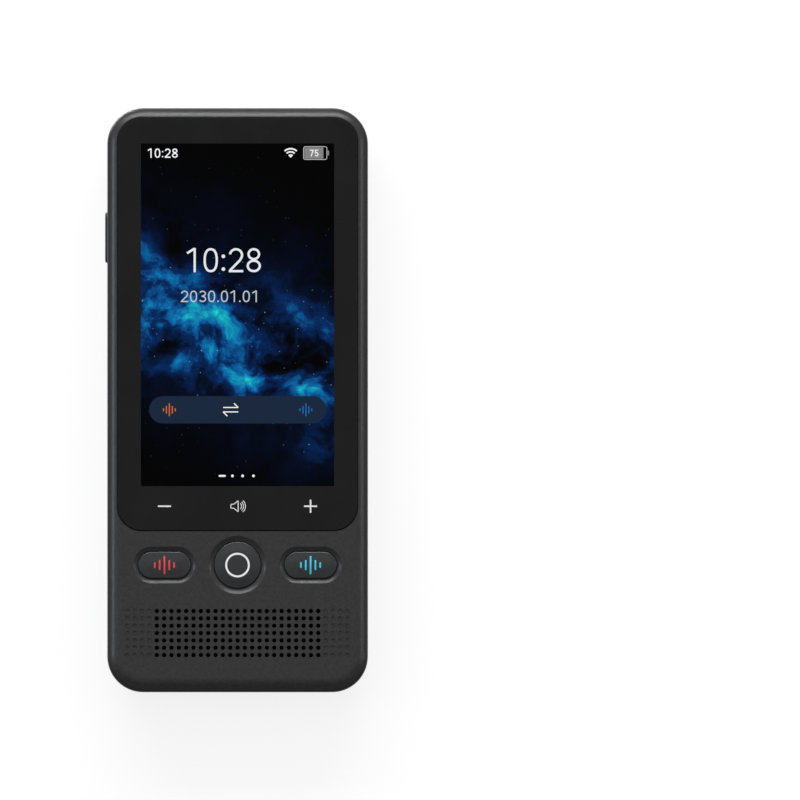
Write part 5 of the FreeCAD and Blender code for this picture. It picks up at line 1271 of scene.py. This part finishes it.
@dataclass
class Keypad(Assembly):
    """The three keys in the deck, their marks, and the board and domes under them."""

    key_grain: float = 0.22
    key_travel: float = 0.3
    title: ClassVar[str] = "keypad"

    def build(self) -> None:
        """Keys are smoothed copies, each one's mark rides with it, and the domes under them are copied too.
        """
        plastic = SparkTexturedPlastic("smoother moulded keys", ("#343536", "#393a3b"), self.key_grain, 0.003,
                                       (0.34, 0.42), 0.3, 0.5)
        keys = (("left_talk_key", Body.LEFT_KEY), ("home_key", Body.HOME), ("right_talk_key", Body.RIGHT_KEY))
        for node, body in keys:
            self.add(smooth_copy(node, node.replace("_key", "_cap")), plastic, body, "key_plastic")
        marks = (("left_key_mark", Body.LEFT_KEY, "mark_red", ("#d23842", "#e04a54")),
                 ("home_key_mark", Body.HOME, "mark_white", ("#dcdcdc", "#ececec")),
                 ("right_key_mark", Body.RIGHT_KEY, "mark_cyan", ("#32b8d8", "#46cbe8")))
        for node, body, slot, colours in marks:
            ink = PrintedInk(node.replace("_", " ") + " resin", colours, glow=0.08)
            self.add(smooth_copy(node, node.replace("_mark", "_sign")), ink, body, slot)
        laminate = SolderMask("key board laminate")
        dome = WorkedMetal("pressed dome steel", ("#b0b2b4", "#bcbec0"), Spread.EVEN, 0.4, 0.001,
                           (0.18, 0.26))
        self.dress("key_board", laminate)
        self.dress("key_board_screws", WorkedMetal("zinc screw steel", ("#8c8d8f", "#989a9c")))
        self.dress("key_board_sockets", Film("socket nylon", ("#d8d2c2", "#e2dccd"), 0.5, 0.003, (0.4, 0.5)))
        for key in ("left_key", "home_key", "right_key"):
            self.build_dome(key + "_dome", key + "_press", dome)

    def build_dome(self, node: str, joint: str, steel: Finish) -> None:
        """Copy a snap dome and give it a mesh of its own.

        Args:
            node: The CAD node.
            joint: Not used.
            steel: The dome's finish.
        """
        dome = self.add(smooth_copy(node, node.replace("_key_dome", "_snap_dome")), steel, Body.CASING,
                        "dome_steel")
        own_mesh(dome)


@dataclass
class Speaker(Assembly):
    """The loudspeaker behind the grille and the cloth over it."""

    title: ClassVar[str] = "speaker"

    def build(self) -> None:
        """All of it stays as the CAD has it."""
        self.dress("grille_mesh", WovenMesh("acoustic cloth"))
        self.dress("speaker_frame",
                   Film("glass-filled nylon frame", ("#19191a", "#202021"), 0.5, 0.006, (0.5, 0.6)))
        self.dress("speaker_cone", Film("formed cone film", ("#26221c", "#2e2a22"), 0.8, 0.006, (0.35, 0.45)))
        self.dress("speaker_magnet", WorkedMetal("plated magnet", ("#a2a4a6", "#aeb0b2"), Spread.EVEN, 0.5))
        self.dress("speaker_gasket", Film("gasket foam", ("#0e0e0f", "#131314"), 0.4, 0.02, (0.8, 0.9)))
        self.dress("speaker_leads", Film("lead sheath", ("#8e1f1c", "#a02822"), 1.0, 0.004, (0.4, 0.5)))


@dataclass
class Camera(Assembly):
    """The camera in the back: ring, plate, window and lens, and the module behind them."""

    window_bevel: float = 0.18
    lens_bulge: float = 0.6
    title: ClassVar[str] = "camera"

    def build(self) -> None:
        """The ring and plate are smoothed copies, and the window and lens are turned afresh."""
        low, high = (np.array(corner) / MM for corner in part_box("camera_window"))
        self.centre = (float(low[0] + high[0]) / 2, float(low[1] + high[1]) / 2)
        ring = WorkedMetal("turned and blasted ring", ("#8b8d90", "#989a9d"), Spread.RINGS, 0.2, 0.001,
                           (0.24, 0.32), self.centre)
        plate = WorkedMetal("anodised plate", ("#75787a", "#7d8082"), Spread.RINGS, 0.3, 0.0008, (0.42, 0.5),
                            self.centre)
        self.add(smooth_copy("camera_ring", "lens_ring"), ring, Body.CASING, "ring_alloy")
        self.add(smooth_copy("camera_plate", "lens_plate"), plate, Body.CASING, "plate_alloy")
        self.build_window(float(high[0] - low[0]) / 2, float(low[2]), float(high[2]))
        self.build_lens()
        self.dress("camera_barrel",
                   Film("ribbed barrel plastic", ("#0b0b0c", "#101011"), 0.4, 0.004, (0.5, 0.6)))
        self.dress("camera_gasket", Film("camera gasket foam", ("#0e0e0f", "#131314"), 0.4, 0.02, (0.8, 0.9)))
        self.dress("camera_module", Film("module housing", ("#151516", "#1b1b1c"), 0.6, 0.004, (0.4, 0.5)))
        self.dress("camera_strip", Film("camera strip film", ("#2a1d0e", "#38270f"), 1.2, 0.01, (0.3, 0.4)))

    def build_window(self, radius: float, low: float, high: float) -> None:
        """Turn the window: a flat disc with a bevelled outer edge, as thick as the CAD's.

        Args:
            radius: Its radius.
            low: The outer face's height.
            high: The inner face's height.
        """
        bevel = self.window_bevel
        profile = np.array([[0, low], [radius - bevel, low], [radius, low + bevel], [radius, high],
                            [0, high]])
        # The middle colour, #1c1440, is the window coat's painted violet reflection.
        glass = CoatedGlass("coated window glass", "#05050b", "#1c1440", "#0a0912", self.centre, radius)
        piece = turned("lens_window", profile, self.centre)
        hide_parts("camera_window")
        self.add(piece, glass, Body.CASING, "camera_glass")

    def build_lens(self) -> None:
        """Turn the lens: an outer face that bulges as part of a sphere, and a flat inner face."""
        low, high = (np.array(corner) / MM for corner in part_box("camera_lens"))
        radius, bottom, top = float(high[0] - low[0]) / 2, float(low[2]), float(high[2])
        bulge = (top - bottom) * self.lens_bulge
        sphere = (radius ** 2 + bulge ** 2) / (2 * bulge)
        out = np.linspace(0, radius, 20)
        face = np.column_stack([out, bottom + sphere - np.sqrt(sphere ** 2 - out ** 2)])
        profile = np.concatenate([face, [[radius, top], [0, top]]])
        piece = turned("lens_dome", profile, self.centre, 64)
        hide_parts("camera_lens")
        # The middle colour, #3b2f8c, is the lens coat's painted violet reflection.
        glass = CoatedGlass("coated lens glass", "#070710", "#3b2f8c", "#0b0b14", self.centre, radius)
        self.add(piece, glass, Body.CASING, "camera_glass")


@dataclass
class SideKey(Assembly):
    """The power key in the left side and the switch behind it."""

    title: ClassVar[str] = "side key"

    def build(self) -> None:
        """The key is a smoothed copy. Its switch stays as the CAD has it."""
        plastic = SparkTexturedPlastic("moulded power key", ("#2f2f30", "#363637"), 0.22, 0.003, (0.36, 0.44))
        self.add(smooth_copy("power_key", "power_cap"), plastic, Body.POWER, "power_plastic")
        self.dress("power_switch", Film("switch nylon", ("#18181a", "#1e1e20"), 0.5, 0.003, (0.45, 0.55)))
        self.dress("power_switch_plunger",
                   Film("plunger nylon", ("#b9b9b2", "#c4c4bd"), 0.4, 0.002, (0.35, 0.45)))
        self.dress("power_switch_board", SolderMask("switch board laminate"))


@dataclass
class Port(Assembly):
    """The charging port in the top end."""

    contact_count: int = 6
    contact_pitch: float = 0.9
    contact_width: float = 0.4
    contact_rise: float = 0.03
    contact_back: float = 0.5
    contact_length: float = 3.2
    contact_corner: float = 0.08
    title: ClassVar[str] = "port"

    def build(self) -> None:
        """The shell is a smoothed copy, and gold contacts lie on both faces of the tongue."""
        steel = WorkedMetal("drawn shell steel", ("#a4a6a8", "#b0b2b4"), Spread.ALONG_X, 0.2, 0.001,
                            (0.2, 0.3))
        self.add(smooth_copy("charging_port_shell", "port_shell"), steel, Body.CASING, "bright_steel")
        self.dress("charging_port_tongue",
                   Film("tongue nylon", ("#121213", "#18181a"), 0.4, 0.002, (0.4, 0.5)))
        self.build_contacts()

    def build_contacts(self) -> None:
        """Lay a row of contacts on each face of the tongue, near its outer end."""
        low, high = (np.array(corner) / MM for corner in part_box("charging_port_tongue"))
        end = float(high[1]) - self.contact_back
        offsets = (np.arange(self.contact_count) - (self.contact_count - 1) / 2) * self.contact_pitch
        outlines = [rounded(self.contact_width, self.contact_length, self.contact_corner,
                            (x, end - self.contact_length / 2), 3) for x in offsets]
        gold = WorkedMetal("plated contacts", ("#c8a050", "#d8b060"), Spread.ALONG_X, 0.2, 0.0005, (0.2, 0.3))
        middle = float(low[2] + high[2]) / 2
        half = self.tongue_half(middle)
        for name, bottom in (("upper_contacts", middle + half),
                             ("lower_contacts", middle - half - self.contact_rise)):
            self.add(raised(name, outlines, [], bottom, bottom + self.contact_rise), gold, Body.CASING,
                     "bright_steel")

    def tongue_half(self, middle: float) -> float:
        """Measure half of the tongue's thickness at its outer end.

        Args:
            middle: The height of the tongue's middle.

        Returns:
            The greatest distance from the middle among the points near the outer end, in millimetres.
        """
        mesh = bpy.data.objects["charging_port_tongue"].data
        points = np.zeros(len(mesh.vertices) * 3)
        mesh.vertices.foreach_get("co", points)
        points = points.reshape(-1, 3) / MM
        outer = points[points[:, 1] > points[:, 1].max() - self.contact_back]
        return float(np.abs(outer[:, 2] - middle).max())


@dataclass
class Inside(Assembly):
    """The frame, boards, battery and aerial, which the covers hide."""

    title: ClassVar[str] = "inside"

    def build(self) -> None:
        """Every node in here stays, in the finish that its maker would give it."""
        steel = WorkedMetal("tinned shield steel", ("#a8aaac", "#b4b6b8"), Spread.ALONG_X, 0.25, 0.001,
                            (0.28, 0.38))
        foam = Film("boot rubber", ("#101011", "#161617"), 0.4, 0.01, (0.7, 0.8))
        strip = Film("link strip film", ("#2a1d0e", "#38270f"), 1.2, 0.01, (0.3, 0.4))
        epoxy = Film("moulded epoxy chips", ("#141415", "#1a1a1b"), 0.3, 0.002, (0.5, 0.6))
        finishes: dict[str, Finish] = {
            "mid_frame": WorkedMetal("die-cast frame alloy", ("#84868a", "#8f9195"), Spread.EVEN, 0.6, 0.006,
                                     (0.4, 0.52)),
            "frame_screws": WorkedMetal("black screw steel", ("#3a3b3d", "#444547")),
            "main_board": SolderMask("main board laminate"),
            "board_screws": WorkedMetal("bright screw steel", ("#8c8d8f", "#989a9c")),
            "processor_shield": steel,
            "radio_shield": steel,
            "board_chips": epoxy,
            "board_sockets": Film("board socket nylon", ("#d8d2c2", "#e2dccd"), 0.5, 0.003, (0.4, 0.5)),
            "battery_cell": Film("aluminium pouch laminate", ("#9da0a3", "#a9acaf"), 3.0, 0.05, (0.3, 0.42)),
            "battery_tape": Film("double-sided tape", ("#d8d8d4", "#e2e2de"), 1.0, 0.01, (0.6, 0.7)),
            "battery_circuit": SolderMask("battery circuit laminate"),
            "battery_lead": Film("battery lead sheath", ("#8e1f1c", "#a02822"), 1.0, 0.004, (0.4, 0.5)),
            "link_strip": strip,
            "lower_mic_strip": strip,
            "rear_microphone": steel,
            "lower_microphone": steel,
            "rear_mic_boot": foam,
            "lower_mic_boot": foam,
            "aerial": WorkedMetal("plated aerial brass", ("#b8a070", "#c4ac7c"), Spread.ALONG_X, 0.3, 0.001),
            "aerial_spring": WorkedMetal("gold-plated spring", ("#c8a860", "#d4b46c"), Spread.EVEN, 0.3,
                                         0.001),
        }
        for node, finish in finishes.items():
            self.dress(node, finish)


@dataclass
class Lamp:
    """A soft box: where it stands, which way its light goes and how much of it there is."""

    name: str
    place: tuple[float, float, float]
    size: tuple[float, float]
    power: float
    colour: str = "#ffffff"
    strip_height: float = 0.05

    def build(self, target: Vector) -> None:
        """Hang the lamp and turn it to the device.

        Mirroring surfaces see only a narrow strip of the same power in its middle, so that the glass
        mirrors a line and not the whole box.

        Args:
            target: The point that it faces.
        """
        box = self.hang(self.name, self.size, target)
        box.visible_glossy = False
        strip = self.hang(self.name + " strip", (self.size[0], self.strip_height), target)
        strip.visible_diffuse = False

    def hang(self, name: str, size: tuple[float, float], target: Vector) -> bpy.types.Object:
        """Make one rectangular light at the lamp's place.

        Args:
            name: Its name.
            size: Its width and height in metres.
            target: The point that it faces.

        Returns:
            The light's object.
        """
        light = bpy.data.lights.new(name, "AREA")
        light.shape = "RECTANGLE"
        light.size, light.size_y = size
        light.energy = self.power
        light.color = linear(self.colour)[:3]
        lamp = bpy.data.objects.new(name, light)
        lamp.location = self.place
        lamp.rotation_euler = (target - lamp.location).to_track_quat("-Z", "Y").to_euler()
        bpy.context.scene.collection.objects.link(lamp)
        return lamp


@dataclass
class Studio:
    """The pale floor, the soft light and the camera, in metres except where a name says millimetres."""

    floor_size: float = 20.0
    floor_colours: tuple[str, str] = ("#f2f2f2", "#f4f4f4")
    floor_grain: float = 40.0
    lift: float = 0.72
    glow: float = 1.1
    camera_height: float = 6.0
    picture_width_mm: float = 180.7
    picture_middle_mm: tuple[float, float] = (36.7, 0.04)
    sensor: float = 36.0
    far_clip: float = 50.0
    ambient: float = 0.52
    near_wall: float = 0.5
    surroundings: tuple[tuple[float, str], ...] = ((0.0, "#dcdcdc"), (0.07, "#b4b4b4"), (0.22, "#3c3c3c"),
                                                   (0.48, "#282828"), (0.54, "#a8a8a8"), (0.7, "#4c4c4c"),
                                                   (1.0, "#3c3c3c"))
    lamps: tuple[Lamp, ...] = (
        Lamp("top soft box", (-0.1, 1.25, 0.6), (1.6, 0.36), 20.0),
        Lamp("left soft box", (-1.25, 0.1, 0.6), (0.3, 1.0), 2.2, "#f0f6ff"),
        Lamp("right soft box", (1.25, 0.1, 0.6), (0.3, 1.0), 1.2),
        Lamp("lower soft box", (-0.55, 0.75, -1.1), (0.9, 0.9), 20.0),
    )

    def build(self, floor_height: float) -> None:
        """Set up the whole studio round the device.

        Args:
            floor_height: The height of the device's lowest point, in metres.
        """
        self.build_floor(floor_height)
        self.build_world()
        self.build_camera()
        for lamp in self.lamps:
            lamp.build(Vector((0, 0, 0)))
        bpy.context.scene.view_settings.view_transform = "Standard"

    def build_floor(self, height: float) -> None:
        """A pale painted floor, which the eye sees lifted towards white but still with its shadow.

        Only the camera sees it, and only from above, so that the back of the device is lit and can be
        looked at from below. To everything else the world stands in for it.

        Args:
            height: The floor's height in metres.
        """
        half = self.floor_size / 2
        mesh = bpy.data.meshes.new("floor")
        mesh.from_pydata([(-half, -half, height), (half, -half, height), (half, half, height),
                          (-half, half, height)], [], [(0, 1, 2, 3)])
        floor = bpy.data.objects.new("floor", mesh)
        bpy.context.scene.collection.objects.link(floor)
        made = bpy.data.materials.new("pale painted floor")
        made.use_nodes = True
        tree = made.node_tree
        tree.nodes.clear()
        place = add_node(tree, "TexCoord").outputs["Object"]
        grain = add_node(tree, "TexNoise", inputs={"Vector": place, "Scale": per_mm(self.floor_grain),
                                                   "Detail": 2.0})
        tone = add_node(tree, "ValToRGB", inputs={"Fac": grain.outputs["Fac"]})
        set_ramp(tone, [(0.3, self.floor_colours[0]), (0.7, self.floor_colours[1])])
        paint = add_node(tree, "BsdfDiffuse", inputs={"Color": tone.outputs["Color"]})
        glow = add_node(tree, "Emission", inputs={"Strength": self.glow})
        lifted = add_node(tree, "MixShader",
                          inputs={0: self.lift, 1: paint.outputs[0], 2: glow.outputs[0]})
        above = add_node(tree, "Math", {"operation": "SUBTRACT"},
                         {0: 1.0, 1: add_node(tree, "NewGeometry").outputs["Backfacing"]})
        seen = add_node(tree, "Math", {"operation": "MULTIPLY"},
                        {0: above.outputs[0], 1: add_node(tree, "LightPath").outputs["Is Camera Ray"]})
        clear = add_node(tree, "BsdfTransparent")
        shown = add_node(tree, "MixShader",
                         inputs={0: seen.outputs[0], 1: clear.outputs[0], 2: lifted.outputs[0]})
        add_node(tree, "OutputMaterial", inputs={"Surface": shown.outputs[0]})
        mesh.materials.append(made)
        floor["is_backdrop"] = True

    def build_world(self) -> None:
        """White to the eye, a plain ambient light, and a graded room for what mirrors.

        The room is pale below, dark at the walls, pale over them and dark again at the ceiling. Both it and
        the ambient light grow evenly from the wall at the device's foot to the one beyond its top.
        """
        world = bpy.data.worlds.new("studio")
        bpy.context.scene.world = world
        world.use_nodes = True
        tree = world.node_tree
        tree.nodes.clear()
        direction = add_node(tree, "TexCoord").outputs["Generated"]
        way = add_node(tree, "SeparateXYZ", inputs={"Vector": direction})
        share = add_node(tree, "MapRange", inputs={"Value": way.outputs["Z"], "From Min": -1.0})
        room = add_node(tree, "ValToRGB", inputs={"Fac": share.outputs["Result"]})
        set_ramp(room, self.surroundings)
        path = add_node(tree, "LightPath")
        shiny = add_node(tree, "Math", {"operation": "MAXIMUM"}, {0: path.outputs["Is Glossy Ray"],
                                                                  1: path.outputs["Is Transmission Ray"]})
        ambient = (self.ambient, self.ambient, self.ambient, 1.0)
        unseen = add_node(tree, "Mix", {"data_type": "RGBA"}, {"Factor": shiny.outputs[0], 6: ambient,
                                                               7: room.outputs["Color"]})
        depth = add_node(tree, "MapRange", inputs={"Value": way.outputs["Y"], "From Min": -1.0,
                                                   "To Min": self.near_wall, "To Max": 2 - self.near_wall})
        graded = add_node(tree, "VectorMath", {"operation": "SCALE"}, {0: unseen.outputs[2],
                                                                       "Scale": depth.outputs["Result"]})
        seen = add_node(tree, "Mix", {"data_type": "RGBA"}, {"Factor": path.outputs["Is Camera Ray"],
                                                             6: graded.outputs[0], 7: linear("#ffffff")})
        light = add_node(tree, "Background", inputs={"Color": seen.outputs[2]})
        add_node(tree, "OutputWorld", inputs={"Surface": light.outputs[0]})

    def build_camera(self) -> None:
        """A long lens that looks straight down, with the device left of the picture's middle."""
        lens = bpy.data.cameras.new("camera")
        lens.sensor_width = self.sensor
        lens.lens = self.sensor * self.camera_height / (self.picture_width_mm * MM)
        lens.clip_end = self.far_clip
        camera = bpy.data.objects.new("camera", lens)
        front = float(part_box("cover_glass")[1][2])
        camera.location = (self.picture_middle_mm[0] * MM, self.picture_middle_mm[1] * MM,
                           front + self.camera_height)
        bpy.context.scene.collection.objects.link(camera)
        bpy.context.scene.camera = camera


def as_lists(bounds: Any) -> list[list[float]]:
    """Turn a box's two corners to plain lists."""
    return [[float(value) for value in corner] for corner in bounds]


def main() -> None:
    """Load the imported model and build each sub-assembly in order."""
    logging.basicConfig(level=logging.INFO, format="%(message)s")
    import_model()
    cad_box = as_lists(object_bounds())
    Studio().build(cad_box[0][2])
    assemblies: list[Assembly] = [Casing(), Screen(), Keypad(), Speaker(), Camera(), SideKey(), Port(),
                                  Inside()]
    for assembly in assemblies:
        assembly.build()
        log.info("%s done: %d new pieces", assembly.title, len(assembly.pieces))


if __name__ == "__main__":
    main()
